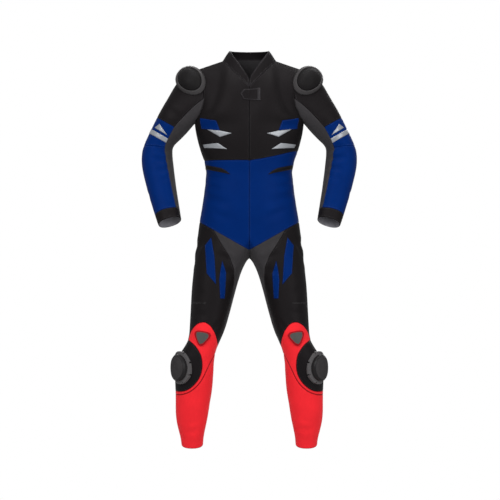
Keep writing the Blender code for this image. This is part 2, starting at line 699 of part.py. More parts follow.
def cut_seams(suit):
    """Every seam line, in the order in which the panels part from each other."""
    for part in ("torso", "thigh"):
        suit.split(above(HIP_SEAM_FRONT), f"{part}_front", "belly_front")
        suit.split(above(HIP_SEAM_BACK), f"{part}_back", "belly_back")
        suit.split(inside_gusset(GUSSET_EDGE_FRONT), f"{part}_front", "gusset")
        suit.split(inside_gusset(GUSSET_EDGE_BACK), f"{part}_back", "gusset")
    rename(suit, "torso_front", "thigh_front")
    rename(suit, "torso_back", "thigh_back")
    suit.split(in_zip, "belly_front", "zip")
    for facing in ("front", "back"):
        suit.split(above(CHEST_SEAM, signed=True), f"belly_{facing}", f"chest_{facing}")
        suit.split(in_sleeve_strip, f"sleeve_{facing}", "strip")
        suit.split(past_section(CUFF_SEAM), f"sleeve_{facing}", "cuff")
        suit.split(past_section(ELBOW_SEAM), f"sleeve_{facing}", "forearm")
        suit.split(past_along(SLEEVE_BAND_START), f"sleeve_{facing}", f"band_{facing}")
    suit.split(past_section(CUFF_SEAM), "strip", "cuff")
    suit.split(in_knee, "thigh_front", "knee")
    suit.split(below(SHIN_SEAM), "thigh_front", "shin")
    suit.split(in_knee_arch, "thigh_front", "frame")
    suit.split(behind_knee, "thigh_back", "calf")


def cut_flashes(suit):
    """The outlines of what is sewn on top of a panel."""
    for flash in FLASHES:
        suit.split_outline(flash.region, f"{flash.region}:{flash.name}", flash.corners, from_front)
    for band in ("band_front", "band_back"):
        suit.split(past_along(SLEEVE_STRIPE[0]), band, f"{band}:sleeve_stripe")
        suit.split(past_along(SLEEVE_STRIPE[1]), f"{band}:sleeve_stripe", band)
    suit.split_outline("band_front", "band_front:sleeve_dart", SLEEVE_DART, on_sleeve)
    suit.split_outline("chest_front", "chest_front:neck_tab", NECK_TAB, from_front_signed)
    suit.split_outline("zip", "zip:neck_tab", NECK_TAB, from_front_signed)


def rename(suit, region, name):
    suit.tags = [(name if tag[0] == region else tag[0], tag[1]) for tag in suit.tags]


# ---------------------------------------------------------------- solids from the surface


def wall(suit, normals, faces, bottom, top):
    """A closed wall over some of the surface's triangles, between two heights above the surface.

    Its rim is pulled in by half the clearance, and it has a corner of its own for each fan of triangles
    that meets at a point, so that two lobes which touch at a point stay apart.
    """
    parent = {}

    def find(key):
        while parent.get(key, key) != key:
            key = parent[key]
        return key

    owner = {}
    for f, face in enumerate(faces):
        for a, b in ring_edges(face):
            owner[a, b] = f
    for (a, b), f in owner.items():
        g = owner.get((b, a))
        if g is not None:
            for v in (a, b):
                one, other = sorted((find((v, f)), find((v, g))))
                parent[other] = one
    corners = sorted({find((v, f)) for f, face in enumerate(faces) for v in face})
    number = {key: i for i, key in enumerate(corners)}
    loops = [[number[find((v, f))] for v in face] for f, face in enumerate(faces)]
    open_edges = [(edge, f) for edge, f in owner.items() if edge[::-1] not in owner]
    rims = [(number[find((a, f))], number[find((b, f))]) for (a, b), f in open_edges]

    place = np.array([suit.points[v] for v, _ in corners])
    facing = np.array([normals[v] for v, _ in corners])
    inward = [[] for _ in corners]
    for a, b in rims:
        along = place[b] - place[a]
        for v in (a, b):
            side = np.cross(facing[v], along)
            inward[v].append(side / np.linalg.norm(side))
    for v, sides in enumerate(inward):
        if sides:
            both = sum(sides)
            place[v] += both * (CLEARANCE / 2) / max(SHARPEST, float(np.dot(both, sides[0])))
    count = len(corners)
    points = np.vstack([place + facing * top, place + facing * bottom])
    solid = loops + [[i + count for i in loop[::-1]] for loop in loops]
    for a, b in rims:
        # Neighbouring panels split the rim that they share along the same diagonal.
        if corners[a][0] < corners[b][0]:
            solid += [[b, a, b + count], [a, a + count, b + count]]
        else:
            solid += [[b, a, a + count], [b, a + count, b + count]]
    return points, solid


def add_object(name, finish, points, faces):
    """An object with its own material."""
    look = FINISHES[finish]
    material = bpy.data.materials.new(f"{name}_{finish}")
    material.use_nodes = True
    shader = material.node_tree.nodes["Principled BSDF"]
    shader.inputs["Base Color"].default_value = look.colour
    shader.inputs["Roughness"].default_value = look.roughness
    shader.inputs["Metallic"].default_value = look.metallic
    mesh = bpy.data.meshes.new(name)
    mesh.from_pydata([tuple(p) for p in points], [], faces)
    mesh.materials.append(material)
    mesh.update()
    obj = bpy.data.objects.new(name, mesh)
    bpy.context.scene.collection.objects.link(obj)
    return obj


def build_panels(suit, normals):
    for panel in PANELS:
        for side, _ in SIDES if panel.paired else ((None, 0),):
            name = f"{side}_{panel.name}" if side else panel.name
            faces = suit.faces_of(panel.regions, side)
            add_object(name, panel.finish, *wall(suit, normals, faces, -panel.wall, 0.0))


def build_flashes(suit, normals):
    sewn = [(f.name, f.finish) for f in FLASHES]
    sewn += [("sleeve_stripe", "silver_leather"), ("sleeve_dart", "silver_leather")]
    for name, finish in sewn:
        for side, _ in SIDES:
            tagged = zip(suit.faces, suit.tags)
            faces = [f for f, tag in tagged if tag[0].endswith(f":{name}") and tag[1] == side]
            solid = wall(suit, normals, faces, CLEARANCE, CLEARANCE + APPLIQUE)
            add_object(f"{side}_{name}", finish, *solid)
    tab = [f for f, tag in zip(suit.faces, suit.tags) if tag[0].endswith(":neck_tab")]
    add_object("neck_tab", "black_leather", *wall(suit, normals, tab, CLEARANCE, CLEARANCE + TAB_THICKNESS))


# ---------------------------------------------------------------- hard pieces


class Seating:
    """A seat on the garment's surface, on the wearer's left, and heights over its frame's plane."""

    def __init__(self, tree, seat, outline):
        self.tree = tree
        self.half_across, self.half_along = seat.half_across, seat.half_along
        self.bend_across, self.bend_along = seat.bend_across, seat.bend_along
        self.out = Vector(seat.facing).normalized()
        along = Vector(seat.along)
        self.along = (along - self.out * along.dot(self.out)).normalized()
        self.across = self.along.cross(self.out)
        self.origin = tree.ray_cast(Vector((seat.x, -1, seat.z)), Vector((0, 1, 0)))[0]
        turns = even_turns(SEAT_SPOKES)
        spots = [self.spot(outline, turn, share) for turn in turns for share in SEAT_SHARES]
        self.lift = max(self.highest_leather(*spot) - self.bend(*spot) for spot in spots)

    def spot(self, outline, turn, share):
        """(across, along) at a share of the way from the middle to the outline."""
        angle = 2 * math.pi * turn
        reach = outline(angle, share)
        return math.cos(angle) * reach * self.half_across, math.sin(angle) * reach * self.half_along

    def leather(self, across, along):
        """Height of the leather over the frame's plane, far below it where there is none."""
        start = self.place(across, along, PROBE)
        hit = self.tree.ray_cast(start, -self.out, 2 * PROBE)[0]
        return (hit - self.origin).dot(self.out) if hit else -PROBE

    def highest_leather(self, across, along):
        """Height of the highest leather around a point."""
        steps = (-SEAT_NEAR, 0.0, SEAT_NEAR)
        return max(self.leather(across + a, along + b) for a in steps for b in steps)

    def bend(self, across, along):
        return -across**2 / (2 * self.bend_across) - along**2 / (2 * self.bend_along)

    def top(self, across, along, height):
        return self.lift + self.bend(across, along) + height

    def under(self, across, along, skirt):
        """Just clear of the leather, and no lower than the skirt reaches."""
        return max(self.highest_leather(across, along) + SEAT_GAP, self.top(across, along, -skirt))

    def place(self, across, along, height):
        return self.origin + self.across * across + self.along * along + self.out * height


def oval(angle, share):
    return share


def notched(angle, share):
    """The outline of the knee slider's backing, with square notches in its edge."""
    steps = (angle - NOTCH_START) / (2 * math.pi) * BACKING_NOTCHES
    in_notch = abs(steps - round(steps)) < (NOTCH_FLOOR + NOTCH_MOUTH) / 2
    return share - NOTCH_DEPTH if share == 1.0 and in_notch else share


def three_cornered(angle, share):
    """A triangle with straight sides and round corners, 1 from its middle to each side."""
    sides = [-math.cos(angle - BADGE_TURN - 2 * math.pi * k / 3) for k in range(3)]
    return share / math.hypot(*(max(0.0, side) for side in sides))


def even_turns(spokes):
    return [k / spokes for k in range(spokes)]


def notch_turns():
    """The turns of the corners of each notch, and of the middle of each tooth between two."""
    corners = (-NOTCH_MOUTH, -NOTCH_FLOOR, NOTCH_FLOOR, NOTCH_MOUTH, 0.5)
    start = NOTCH_START / (2 * math.pi)
    return [start + (k + corner) / BACKING_NOTCHES for k in range(BACKING_NOTCHES) for corner in corners]


def polar_solid(seat, profile, outline, turns, underside):
    """A disc, or a ring where the profile starts off its middle, between a profile and an underside."""
    tops, bottoms, faces, points = [], [], [], []
    for share, height in profile:
        high, low = [], []
        for turn in turns[:1] if share == 0 else turns:
            across, along = seat.spot(outline, turn, share)
            for row, level in ((high, seat.top(across, along, height)), (low, underside(across, along))):
                row.append(len(points))
                points.append(seat.place(across, along, level))
        tops.append(high)
        bottoms.append(low)
    strips = list(zip(tops, tops[1:])) + list(zip(bottoms[1:], bottoms)) + [(tops[-1], bottoms[-1])]
    if profile[0].share > 0:
        strips.append((bottoms[0], tops[0]))
    for inner, outer in strips:
        faces += strip(inner, outer)
    return points, faces


def strip(inner, outer):
    """Triangles between two closed rows of points, either of which may be a single point."""
    count = max(len(inner), len(outer))
    faces = []
    for k in range(count):
        a, b = inner[k % len(inner)], inner[(k + 1) % len(inner)]
        c, d = outer[k % len(outer)], outer[(k + 1) % len(outer)]
        if len(outer) > 1:
            faces.append((a, c, d))
        if len(inner) > 1:
            faces.append((a, d, b))
    return faces


def add_pair(name, finish, points, faces):
    """A hard piece on the wearer's left and its mirror image on the right."""
    for side, sign in SIDES:
        mirrored = [(p[0] * sign, p[1], p[2]) for p in points]
        loops = faces if sign > 0 else [face[::-1] for face in faces]
        add_object(f"{side}_{name}", finish, mirrored, loops)


def build_shoulder(tree):
    """The moulded cup over each shoulder, and the ring that holds its edge down."""
    seat = Seating(tree, SHOULDER, oval)

    def under(across, along):
        return seat.under(across, along, SHOULDER_SKIRT)

    cup = polar_solid(seat, SHOULDER_CUP, oval, even_turns(SHOULDER_SPOKES), under)
    add_pair("shoulder_cup", "black_plastic", *cup)
    ring = polar_solid(seat, SHOULDER_RING, oval, even_turns(SHOULDER_SPOKES), under)
    add_pair("shoulder_ring", "grey_plastic", *ring)


def build_knee(tree):
    """The slider on the outside of each knee, on its notched backing."""
    seat = Seating(tree, KNEE, oval)

    def under(across, along):
        return seat.under(across, along, BACKING_SKIRT)

    def on_backing(across, along):
        return seat.top(across, along, BACKING_HEIGHT + SLIDER_GAP)

    backing = polar_solid(seat, BACKING, notched, notch_turns(), under)
    add_pair("slider_backing", "grey_plastic", *backing)
    slider = polar_solid(seat, SLIDER_PROFILE, oval, even_turns(SLIDER_SPOKES), on_backing)
    add_pair("knee_slider", "black_plastic", *slider)


def build_badge(tree):
    """The plain three-cornered badge above each knee."""
    seat = Seating(tree, BADGE, three_cornered)

    def under(across, along):
        return seat.under(across, along, BADGE_SKIRT)

    badge = polar_solid(seat, BADGE_PROFILE, three_cornered, even_turns(BADGE_SPOKES), under)
    add_pair("knee_badge", "grey_plastic", *badge)


def main():
    for obj in list(bpy.data.objects):
        bpy.data.objects.remove(obj)
    suit = half_surface().mirrored()
    cut_seams(suit)
    cut_flashes(suit)
    suit.triangulate()
    normals = suit.normals()
    build_panels(suit, normals)
    build_flashes(suit, normals)
    tree = BVHTree.FromPolygons([tuple(p) for p in suit.points], suit.faces)
    build_shoulder(tree)
    build_knee(tree)
    build_badge(tree)


if __name__ == "__main__":
    main()
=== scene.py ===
"""The looks of a one-piece leather motorcycle race suit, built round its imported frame. Metres, +Z up.

The outer skins of the frame's panels are joined to one surface, smoothed and creased, and cut apart again
along the seams. Each panel then gets rolled edges, a wall and its sewing. The front faces -Y.
"""

import json
import math
from collections import namedtuple

import bmesh
import bpy
import numpy as np
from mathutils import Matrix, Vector
from mathutils.bvhtree import BVHTree


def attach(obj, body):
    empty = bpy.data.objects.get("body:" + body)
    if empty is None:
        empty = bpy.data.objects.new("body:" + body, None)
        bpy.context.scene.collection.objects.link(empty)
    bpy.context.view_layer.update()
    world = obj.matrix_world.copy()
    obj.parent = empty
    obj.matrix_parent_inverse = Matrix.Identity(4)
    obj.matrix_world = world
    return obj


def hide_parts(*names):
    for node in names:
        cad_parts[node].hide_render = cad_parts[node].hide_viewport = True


bl_info = {
    "name": "Motorcycle race suit",
    "version": (1, 0, 0),
    "blender": (4, 5, 0),
    "location": "View3D > Sidebar > Race suit",
    "description": "Leather panels, sewing, zip and hard pieces of a one-piece race suit",
    "category": "Add Mesh",
}

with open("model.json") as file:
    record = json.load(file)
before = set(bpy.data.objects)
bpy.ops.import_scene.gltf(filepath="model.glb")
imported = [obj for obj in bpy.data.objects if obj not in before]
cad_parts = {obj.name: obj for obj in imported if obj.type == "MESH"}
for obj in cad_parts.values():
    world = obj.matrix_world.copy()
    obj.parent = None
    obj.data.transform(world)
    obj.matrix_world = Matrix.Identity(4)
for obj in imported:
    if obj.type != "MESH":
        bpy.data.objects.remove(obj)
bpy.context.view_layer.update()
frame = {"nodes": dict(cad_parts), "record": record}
NODES = frame["nodes"]
SLOTS = {part["node"]: part["material_slot"] for part in frame["record"]["subparts"]}
SIDES = (("left", 1.0), ("right", -1.0))
MM = 0.001

# ---- sizes

MERGE = 0.01 * MM  # loose triangles of one solid
WELD = 2.5 * MM  # borders of two panels that are sewn together
SHARP = math.radians(60)  # edges of a wall, between its sides and its rim
QUAD_BEND = 0.8  # how far two triangles of the skin may fold if they are to be one face, in radians
QUAD_SKEW = 0.9  # and how far that face's corners may be from square
WALL_PROBE = 2.4 * MM  # a face is part of a wall's two sides if the other side is nearer than this
SMOOTHING = 2  # subdivision levels of the cloth
COLLAR_FOOT = -0.0935  # the collar is open in front above this height
CENTRE = 0.5 * MM  # points this near the middle plane lie on it
CHEST_SEAM_Z = -0.357  # height of the seam between chest and belly at the zip
ZIP_TOP = -0.096
ZIP_FOOT = -0.668
ZIP_END = 9.0 * MM  # at the foot of the zip, where the leather closes over it
EDGE_ROLL = ((0.5, 0.36), (1.0, 0.08))  # shares of the roll's width, with the share of the seam's dip there
LEVEL_NEAR = 0.3 * MM  # a point this near a line that the sheet is cut along lies on it

# ---- the cut

# Width and length that each piece is cut from, and its area.
Cut = namedtuple("Cut", "width length area")
FLASH_CUTS = {
    "chest_flash": Cut(0.039, 0.088, 0.00278),
    "chest_dart": Cut(0.023, 0.097, 0.00109),
    "rib_dart": Cut(0.023, 0.106, 0.00141),
    "waist_dart": Cut(0.035, 0.138, 0.00198),
    "thigh_flash": Cut(0.036, 0.170, 0.00448),
    "thigh_dart": Cut(0.025, 0.134, 0.00252),
    "sleeve_stripe": Cut(0.024, 0.245, 0.00392),
    "sleeve_dart": Cut(0.023, 0.059, 0.00067),
}
PANEL_CUTS = {
    "collar": Cut(0.440, 0.062, 0.0202),
    "back_upper": Cut(0.520, 0.370, 0.1571),
    "back_lower": Cut(0.440, 0.310, 0.1103),
    "left_chest": Cut(0.250, 0.340, 0.0725),
    "right_chest": Cut(0.250, 0.365, 0.0765),
    "left_belly": Cut(0.240, 0.340, 0.0642),
    "right_belly": Cut(0.240, 0.320, 0.0597),
    "gusset": Cut(0.170, 0.460, 0.0467),
    "thigh": Cut(0.250, 0.450, 0.0740),
    "seat": Cut(0.270, 0.500, 0.1002),
    "knee_frame": Cut(0.140, 0.220, 0.0174),
    "knee_panel": Cut(0.170, 0.190, 0.0221),
    "shin": Cut(0.210, 0.340, 0.0475),
    "calf": Cut(0.260, 0.350, 0.0640),
    "sleeve_top": Cut(0.280, 0.260, 0.0525),
    "arm_band": Cut(0.200, 0.160, 0.0246),
    "forearm": Cut(0.270, 0.290, 0.0645),
    "sleeve_strip": Cut(0.160, 0.420, 0.0495),
    "cuff": Cut(0.270, 0.050, 0.0104),
}


def named(table, node):
    """The table's value for a node, whose name may start with its side."""
    return table.get(node) or table.get(node.split("_", 1)[-1])


PANELS = [node for node in NODES if named(PANEL_CUTS, node)]
FLASHES = [node for node in NODES if named(FLASH_CUTS, node)]

# The inner side of a panel is lining, but for these. The forearm and cuff get a lighter copy of the lining,
# painted light that makes the shaded inside of the sleeve show lit at the cuff.
INNER = {"collar": "black_leather", "forearm": "cuff_lining", "cuff": "cuff_lining"}
# Panels with a bound or painted edge.
EDGES = {"collar": "binding", "knee_frame": "red_edge", "shin": "red_edge", "calf": "red_edge"}
# The thread that each leather or cloth is sewn with, and the material slot of each thread that isn't black.
THREADS = {
    "black_leather": "black_thread",
    "blue_leather": "blue_thread",
    "red_leather": "red_thread",
    "silver_leather": "grey_thread",
    "stretch_cloth": "black_thread",
}
THREAD_SLOTS = {
    "blue_thread": "blue_leather",
    "red_thread": "red_leather",
    "grey_thread": "silver_leather",
}
SEWING = {}  # the runs of points, with their normals, that each thread is sewn along

# ---- colours and settings


def linear(code):
    """The linear colour of an sRGB hex value."""
    parts = [int(code[i : i + 2], 16) / 255 for i in (1, 3, 5)]
    return tuple(c / 12.92 if c <= 0.04045 else ((c + 0.055) / 1.055) ** 2.4 for c in parts)


def colour(name, text, code):
    return bpy.props.FloatVectorProperty(
        name=name, description=text, size=3, subtype="COLOR", min=0, max=1, default=linear(code)
    )


def length(name, text, value):
    return bpy.props.FloatProperty(name=name, description=text, default=value, unit="LENGTH", precision=4)


class SuitColours(bpy.types.PropertyGroup):
    """Colours of the leather, cloth and plastics."""

    black: colour("Black leather", "Yoke, upper sleeves, collar, thighs, knees and cuffs", "#151314")
    blue: colour("Blue leather", "Waist, lower sleeves and flashes", "#00225f")
    red: colour("Red leather", "Lower legs", "#ec2a32")
    red_edge: colour("Red edge paint", "Cut edges of the red leather, and rims of the badges", "#8c151b")
    silver: colour("Silver leather", "Darts and sleeve stripes", "#94979c")
    stretch: colour("Stretch cloth", "Crotch, inner thighs and under the arms", "#333133")
    # Painted light: the lining is set lighter, so that the shaded inside of the suit shows lit through the
    # neck.
    lining: colour("Lining", "Inside of the suit", "#434143")
    # Painted light: a lighter copy of the lining, so that the shaded inside of the sleeve shows lit at the
    # cuff.
    cuff_lining: colour("Cuff lining", "Inside of the lower sleeves", "#8b8a90")
    binding: colour("Binding", "Edges of the collar and the neck tab, and the tab's bar", "#2c2a2c")


class SuitSizes(bpy.types.PropertyGroup):
    """Walls, seams and sewing."""

    leather: length("Leather wall", "Thickness of the leather with its lining", 2.0 * MM)
    stretch: length("Stretch wall", "Thickness of the stretch cloth", 1.8 * MM)
    applique: length("Flash wall", "Thickness of the leather flashes", 1.2 * MM)
    seam_gap: length("Seam gap", "From the middle of a seam to the edge of a panel", 0.03 * MM)
    seam_depth: length("Seam depth", "How far a rolled edge dips at a seam", 1.3 * MM)
    seam_roll: length("Seam roll", "Width of the rolled edge", 2.0 * MM)
    stitch_inset: length("Stitch inset", "From a seam to its row of stitches", 4.0 * MM)
    stitch_pitch: length("Stitch pitch", "From one stitch to the next", 4.5 * MM)
    thread: length("Thread", "Thickness of the sewing thread", 0.8 * MM)
    zip_gap: length("Zip gap", "From the middle of the zip to the leather beside it", 0.35 * MM)
    crease: bpy.props.FloatProperty(
        name="Crease depth", description="Scales the depth of all creases", default=1.25, min=0, max=2
    )


# ---- materials


def add_node(tree, kind, inputs=None, **settings):
    """Adds a shader node. inputs gives values, or the sockets to link from. Returns the node's outputs."""
    node = tree.nodes.new(f"ShaderNode{kind}")
    for key, value in settings.items():
        setattr(node, key, value)
    for key, value in (inputs or {}).items():
        if isinstance(value, bpy.types.NodeSocket):
            tree.links.new(value, node.inputs[key])
        else:
            node.inputs[key].default_value = value
    return node.outputs


def new_material(name, **sockets):
    """An empty material with a Principled shader, and where its patterns are read."""
    material = bpy.data.materials.new(name)
    material.use_nodes = True
    tree = material.node_tree
    shader = tree.nodes["Principled BSDF"]
    for key, value in sockets.items():
        shader.inputs[key.replace("_", " ")].default_value = value
    place = add_node(tree, "TexCoord")["Object"]
    return material, tree, shader, place


def vary_colour(tree, shader, base, pattern, darkest, lightest):
    """Spreads a pattern from 0 to 1 between two shares of the base colour's brightness."""
    ends = [tuple(min(1.0, c * share) for c in base[:3]) + (1.0,) for share in (darkest, lightest)]
    mix = add_node(tree, "Mix", {0: pattern, 6: ends[0], 7: ends[1]}, data_type="RGBA")
    tree.links.new(mix[2], shader.inputs["Base Color"])


def vary_roughness(tree, shader, pattern, low, high):
    """Spreads a pattern from 0 to 1 between two roughnesses."""
    spread = add_node(tree, "MapRange", {"Value": pattern, "To Min": low, "To Max": high})
    tree.links.new(spread[0], shader.inputs["Roughness"])


def bumps(tree, shader, *layers):
    """Bump layers of (height, depth in metres, strength), the coarsest first."""
    below = {}
    for height, depth, strength in layers:
        inputs = {"Height": height, "Distance": depth, "Strength": strength, **below}
        below = {"Normal": add_node(tree, "Bump", inputs)[0]}
    tree.links.new(below["Normal"], shader.inputs["Normal"])


GREY_GLOSS = 0.25  # share of the sheen that doesn't take the colour of the top coat
WAVE = math.pi / 10  # length of one band of the wave texture at a scale of 1


def cowhide(name, base, roughness, grain=0.55):
    """Drum-dyed cowhide with a pigmented top coat: a soft sheen over fine pebbled grain."""
    tint = [GREY_GLOSS + (1 - GREY_GLOSS) * c / max(base) for c in base]
    coat = {"Specular_Tint": (*tint, 1), "Coat_Weight": 0.01, "Coat_Roughness": 0.4}
    material, tree, shader, place = new_material(name, IOR=1.48, Specular_IOR_Level=0.08, **coat)
    # Real grain is about 1.2 mm wide. It is drawn at 2.2 mm, because finer grain doesn't show.
    pebbles = add_node(tree, "TexVoronoi", {"Vector": place, "Scale": 1 / 0.0022}, feature="SMOOTH_F1")[0]
    pores = add_node(tree, "TexNoise", {"Vector": place, "Scale": 1 / 0.0012, "Detail": 2.0})[0]
    hide = add_node(tree, "TexNoise", {"Vector": place, "Scale": 1 / 0.06, "Detail": 4.0})[0]
    folds = {"Vector": place, "Scale": 1 / 0.014, "Detail": 3.0, "Distortion": 0.6}
    tumbled = add_node(tree, "TexNoise", folds)[0]
    vary_colour(tree, shader, base, hide, 0.86, 1.12)
    vary_roughness(tree, shader, hide, roughness - 0.06, roughness + 0.08)
    bumps(tree, shader, (tumbled, 1.2 * MM, 0.30), (pebbles, 0.5 * MM, grain), (pores, 0.2 * MM, 0.25))
    return material


def coated_silver(name, base):
    """Leather with a silver foil coat: smoother than the plain hide, with a broad metallic sheen."""
    material, tree, shader, place = new_material(
        name, IOR=1.5, Metallic=0.35, Coat_Weight=0.2, Coat_Roughness=0.3
    )
    pebbles = add_node(tree, "TexVoronoi", {"Vector": place, "Scale": 1 / 0.0022}, feature="SMOOTH_F1")[0]
    cloud = add_node(tree, "TexNoise", {"Vector": place, "Scale": 1 / 0.03, "Detail": 3.0})[0]
    vary_colour(tree, shader, base, cloud, 0.94, 1.08)
    vary_roughness(tree, shader, cloud, 0.36, 0.46)
    bumps(tree, shader, (pebbles, 0.3 * MM, 0.35))
    return material


def stretch_knit(name, base):
    """Knitted stretch cloth of aramid and elastane: matt, with ribs across the limb and a dull fuzz."""
    material, tree, shader, place = new_material(
        name, Roughness=0.88, IOR=1.5, Specular_IOR_Level=0.15, Sheen_Weight=0.05, Sheen_Roughness=0.5
    )
    # Ribs are 3.2 mm apart and stitches 1.6 mm.
    knit = {"Vector": place, "Scale": WAVE / 0.0032, "Distortion": 0.6, "Detail": 1.0}
    ribs = add_node(tree, "TexWave", knit, bands_direction="Z")["Fac"]
    loops = add_node(tree, "TexVoronoi", {"Vector": place, "Scale": 1 / 0.0016})["Distance"]
    cloud = add_node(tree, "TexNoise", {"Vector": place, "Scale": 1 / 0.04, "Detail": 3.0})[0]
    vary_colour(tree, shader, base, cloud, 0.86, 1.14)
    bumps(tree, shader, (ribs, 0.7 * MM, 0.7), (loops, 0.3 * MM, 0.4))
    return material


def mesh_lining(name, base):
    """Warp-knitted polyester mesh: matt, with small round holes about 2 mm apart."""
    material, tree, shader, place = new_material(name, Roughness=0.9, IOR=1.5, Specular_IOR_Level=0.15)
    holes = add_node(tree, "TexVoronoi", {"Vector": place, "Scale": 1 / 0.0024})["Distance"]
    vary_colour(tree, shader, base, holes, 0.7, 1.2)
    bumps(tree, shader, (holes, 0.4 * MM, 0.6))
    return material


def moulded(name, base, roughness):
    """Injection-moulded plastic from a spark-eroded mould: an even matt with a fine orange-peel bump."""
    material, tree, shader, place = new_material(name, IOR=1.5, Specular_IOR_Level=0.14)
    fine = add_node(tree, "TexNoise", {"Vector": place, "Scale": 1 / 0.0009, "Detail": 2.0})[0]
    cloud = add_node(tree, "TexNoise", {"Vector": place, "Scale": 1 / 0.02, "Detail": 3.0})[0]
    vary_colour(tree, shader, base, cloud, 0.92, 1.08)
    vary_roughness(tree, shader, cloud, roughness - 0.05, roughness + 0.07)
    bumps(tree, shader, (fine, 0.15 * MM, 0.4))
    return material


def scuffed(name, base):
    """Cast polyurethane that has touched the road: matt, with fine scratches down its face."""
    material, tree, shader, place = new_material(name, Roughness=0.62, IOR=1.5, Specular_IOR_Level=0.12)
    # Scratches are about 1 mm wide and 15 times as long.
    drawn = add_node(tree, "Mapping", {"Vector": place, "Scale": (1, 1, 1 / 15)})[0]
    scratches = add_node(tree, "TexNoise", {"Vector": drawn, "Scale": 1 / 0.001, "Detail": 3.0})[0]
    cloud = add_node(tree, "TexNoise", {"Vector": place, "Scale": 1 / 0.015, "Detail": 2.0})[0]
    both = add_node(tree, "Math", {0: scratches, 1: cloud}, operation="MULTIPLY")[0]
    stretched = add_node(tree, "Math", {0: both, 1: 2.0}, operation="MULTIPLY")[0]
    vary_colour(tree, shader, base, stretched, 0.78, 1.22)
    bumps(tree, shader, (scratches, 0.25 * MM, 0.5))
    return material


def bonded_thread(name, base):
    """Bonded polyester thread of three twisted strands: a slight lustre, lighter than the leather."""
    material, tree, shader, place = new_material(name, Roughness=0.55, IOR=1.5, Sheen_Weight=0.15)
    twist = {"Vector": place, "Scale": WAVE / 0.0009, "Distortion": 0.4}
    strands = add_node(tree, "TexWave", twist, bands_direction="DIAGONAL")["Fac"]
    vary_colour(tree, shader, base, strands, 0.75, 1.15)
    bumps(tree, shader, (strands, 0.2 * MM, 0.5))
    return material


# What makes each finish, its material's name and colour, then its roughness and the depth of its grain.
RECIPES = {
    "black_leather": (cowhide, "black_cowhide", "black", 0.55),
    "blue_leather": (cowhide, "blue_cowhide", "blue", 0.55),
    "red_leather": (cowhide, "red_cowhide", "red", 0.55, 0.4),
    "silver_leather": (coated_silver, "silver_coated_leather", "silver"),
    "stretch_cloth": (stretch_knit, "ribbed_stretch_knit", "stretch"),
    # painted light: a lightened lining for the shaded inside of the suit
    "lining": (mesh_lining, "mesh_lining", "lining"),
    # painted light: the lining again, lighter, for the shaded inside of the sleeves
    "cuff_lining": (mesh_lining, "grey_mesh_lining", "cuff_lining"),
    "binding": (cowhide, "charcoal_binding", "binding", 0.55),
    "red_edge": (cowhide, "edge_painted_red_cowhide", "red_edge", 0.5),
    "black_thread": (bonded_thread, "black_thread", "#383638"),
    "charcoal_thread": (bonded_thread, "charcoal_thread", "#5a585a"),
    "blue_thread": (bonded_thread, "blue_thread", "#0b357a"),
    "red_thread": (bonded_thread, "red_thread", "#b8242b"),
    "grey_thread": (bonded_thread, "grey_thread", "#8d8f92"),
    "zip_teeth": (moulded, "moulded_zip_teeth", "#17191e", 0.5),
    "zip_tape": (stretch_knit, "woven_zip_tape", "#1d1d20"),
    "cup": (moulded, "moulded_nylon_cup", "#110f10", 0.62),
    "ring": (moulded, "moulded_nylon_ring", "#3b393a", 0.55),
    "backing": (moulded, "moulded_slider_backing", "#4f4d4e", 0.55),
    "slider_side": (moulded, "black_polyurethane", "#1c1b1c", 0.4),
    "slider_face": (scuffed, "scuffed_polyurethane", "#302e2f"),
    "badge": (moulded, "moulded_badge", "#474745", 0.5),
}
FINISHES = {}


def finish(name):
    """The suit's material of that name, made when it is first asked for."""
    if name not in FINISHES:
        maker, title, shade, *settings = RECIPES[name]
        base = linear(shade) if shade.startswith("#") else getattr(bpy.context.scene.suit_colours, shade)
        FINISHES[name] = maker(title, base, *settings)
    return FINISHES[name]


# ---- meshes


def cad_copy(node):
    """A bmesh of a CAD node, its loose triangles merged."""
    made = bmesh.new()
    made.from_mesh(NODES[node].data)
    bmesh.ops.remove_doubles(made, verts=made.verts, dist=MERGE)
    made.normal_update()
    return made


def crossings(tree, place, direction):
    """How many faces a ray goes through."""
    count = 0
    while True:
        hit = tree.ray_cast(place, direction)[0]
        if hit is None:
            return count
        count += 1
        place = hit + direction * MERGE * 2


def patches(faces):
    """The faces in groups that meet at edges which aren't sharp."""
    left = dict.fromkeys(faces)
    while left:
        group = [left.popitem()[0]]
        for face in group:
            for edge in face.edges:
                if edge.calc_face_angle(math.pi) < SHARP:
                    near = [other for other in edge.link_faces if other in left]
                    group.extend(near)
                    for other in near:
                        del left[other]
        yield group


def outer_faces(wall, suit_walls):
    """The side of a wall that looks away from the hollow. A ray from there meets an even number of walls."""
    tree = BVHTree.FromBMesh(wall)
    sides = []
    for face in wall.faces:
        inside = face.calc_center_median() - face.normal * MERGE
        if tree.ray_cast(inside, -face.normal, WALL_PROBE)[0] is not None:
            sides.append(face)

    def openness(group):
        rays = [(face.calc_center_median() + face.normal * MERGE * 5, face.normal) for face in group]
        return sum(crossings(suit_walls, *ray) // 2 % 2 == 0 for ray in rays) / len(rays)

    groups = sorted(patches(sides), key=len, reverse=True)
    return max(groups[:2], key=openness)


def new_object(name, mesh):
    piece = bpy.data.objects.new(name, mesh)
    bpy.context.scene.collection.objects.link(piece)
    return piece


def mesh_from(name, points, faces, indices=None):
    mesh = bpy.data.meshes.new(name)
    mesh.from_pydata([tuple(p) for p in points], [], faces)
    if indices is not None:
        mesh.polygons.foreach_set("material_index", indices)
    mesh.update()
    return mesh


def points_of(mesh):
    places = np.empty(len(mesh.vertices) * 3)
    mesh.vertices.foreach_get("co", places)
    return places.reshape(-1, 3)


def set_points(mesh, places):
    mesh.vertices.foreach_set("co", places.ravel())
    mesh.update()


def normals_of(mesh):
    found = np.empty(len(mesh.vertices) * 3)
    mesh.vertex_normals.foreach_get("vector", found)
    return found.reshape(-1, 3)


def select_only(piece):
    bpy.ops.object.select_all(action="DESELECT")
    bpy.context.view_layer.objects.active = piece
    piece.select_set(True)


